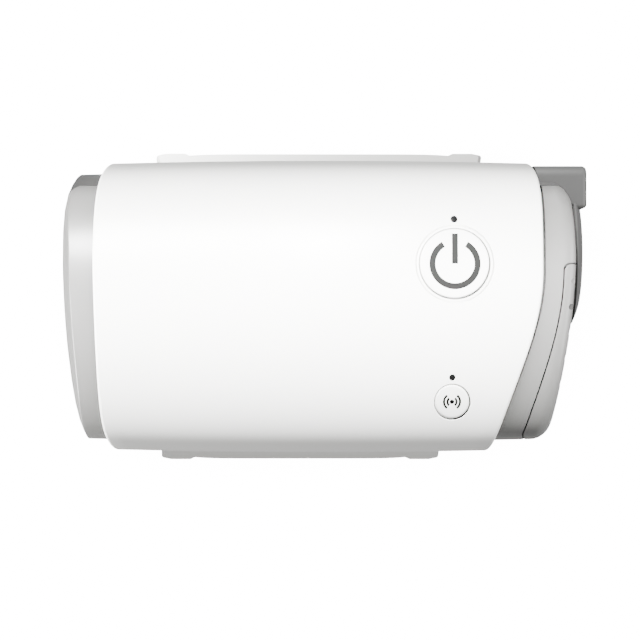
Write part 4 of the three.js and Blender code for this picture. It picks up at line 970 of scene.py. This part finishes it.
def base_outline(from_end, from_side):
    """The base's plan, drawn in at its ends and at its long sides, which bow out between the ears."""
    outline = []
    for name, side in (("front", -1), ("back", 1)):
        left, right = BASE_ENDS[name][0] + from_end, BASE_ENDS[name][1] - from_end
        depth = BASE_DEPTH - from_side
        start, finish = left + EAR_WIDTH + EAR_SLOPE, right - EAR_WIDTH - EAR_SLOPE
        row = [(left + along, depth - drop) for along, drop in EAR_CORNER]
        for i in range(SKIRT_STEPS + 1):
            share = i / SKIRT_STEPS
            drop = SKIRT_DROP + (EAR_DROP - SKIRT_DROP) * (2 * share - 1) ** DROP_POWER
            row.append((start + (finish - start) * share, depth - drop))
        row += [(right - along, depth - drop) for along, drop in reversed(EAR_CORNER)]
        outline += [(x, y * side) for x, y in row][::-side]
    return outline


def base_plan():
    """The base's plan carried up through its levels."""
    rows = [[(x, y, z) for x, y in base_outline(*drawn)] for z, *drawn in BASE_LEVELS]
    return stacked("base_plan", rows)


def base_section():
    """The end view of the base: the skirt under the saddle's slopes."""
    side, bottom = BASE_DEPTH + BASE_TOOL["past_sides"], UNDERSIDE - BASE_TOOL["past_underside"]
    outline = [
        (-side, bottom), (side, bottom), (side, SKIRT_TOP), (BASE_DEPTH, SKIRT_TOP),
        (SADDLE_DEPTH, SADDLE_TOP), (-SADDLE_DEPTH, SADDLE_TOP), (-BASE_DEPTH, SKIRT_TOP), (-side, SKIRT_TOP),
    ]
    return prism("section", outline, "x", -BASE_TOOL["end"], BASE_TOOL["end"])


def barrel():
    """The sleeve's outside with a gap, as a plain barrel."""
    end = BASE_TOOL["barrel_end"]
    rings = []
    for x in np.linspace(-end, end, BASE_STATIONS + 1):
        rings.append(ring(SLEEVE_DEPTH + GAP, SLEEVE_HEIGHT + GAP, lambda y, z: x + 0 * y))
    return loft("barrel", rings)


base = cut(common(base_plan(), base_section()), barrel())
for x in FEET["places"]:
    half, length = FEET["half_width"], FEET["half_length"]
    outline = rounded(x - half, x + half, -length, length, FEET["corner"])
    cut(base, prism("recess", outline, "z", 0, FEET["recess"]))
for x in BASE_SCREWS["x"]:
    for y in BASE_SCREWS["y"]:
        bore = rod(BASE_SCREWS["bore"], 0, AXIS_HEIGHT, "z", (x, y, 0), SMALL_TURNS)
        cut(base, bore, rod(BASE_SCREWS["head"], 0, BASE_SCREWS["head_top"], "z", (x, y, 0), HEAD_TURNS))
finished(base, "base_skirt", "shell", "white_plastic", ["base_plate"])


# What single lights fall on, and what others leave out

LIT = {
    "backdrop_light": [floor],
    "left_fill": [front],
    "rim_fill": [sleeve],
    "base_fill": [base],
    "rear_fill": [rear, outlet_ring],
    "right_fill": [rear, outlet_ring],
    "end_fill": [front, panel],
}
LEFT_OUT = {
    "sheen": [floor],
    "over": [floor, rear, outlet_ring],
    "back": [floor, rear, outlet_ring],
}
for name, pieces in LIT.items():
    lights[name].light_linking.receiver_collection = group_of(f"only_for_{name}", pieces, "INCLUDE")
for name, pieces in LEFT_OUT.items():
    lights[name].light_linking.receiver_collection = group_of(f"not_for_{name}", pieces, "EXCLUDE")
lights["backdrop_light"].light_linking.blocker_collection = group_of("only_floor", [floor], "INCLUDE")
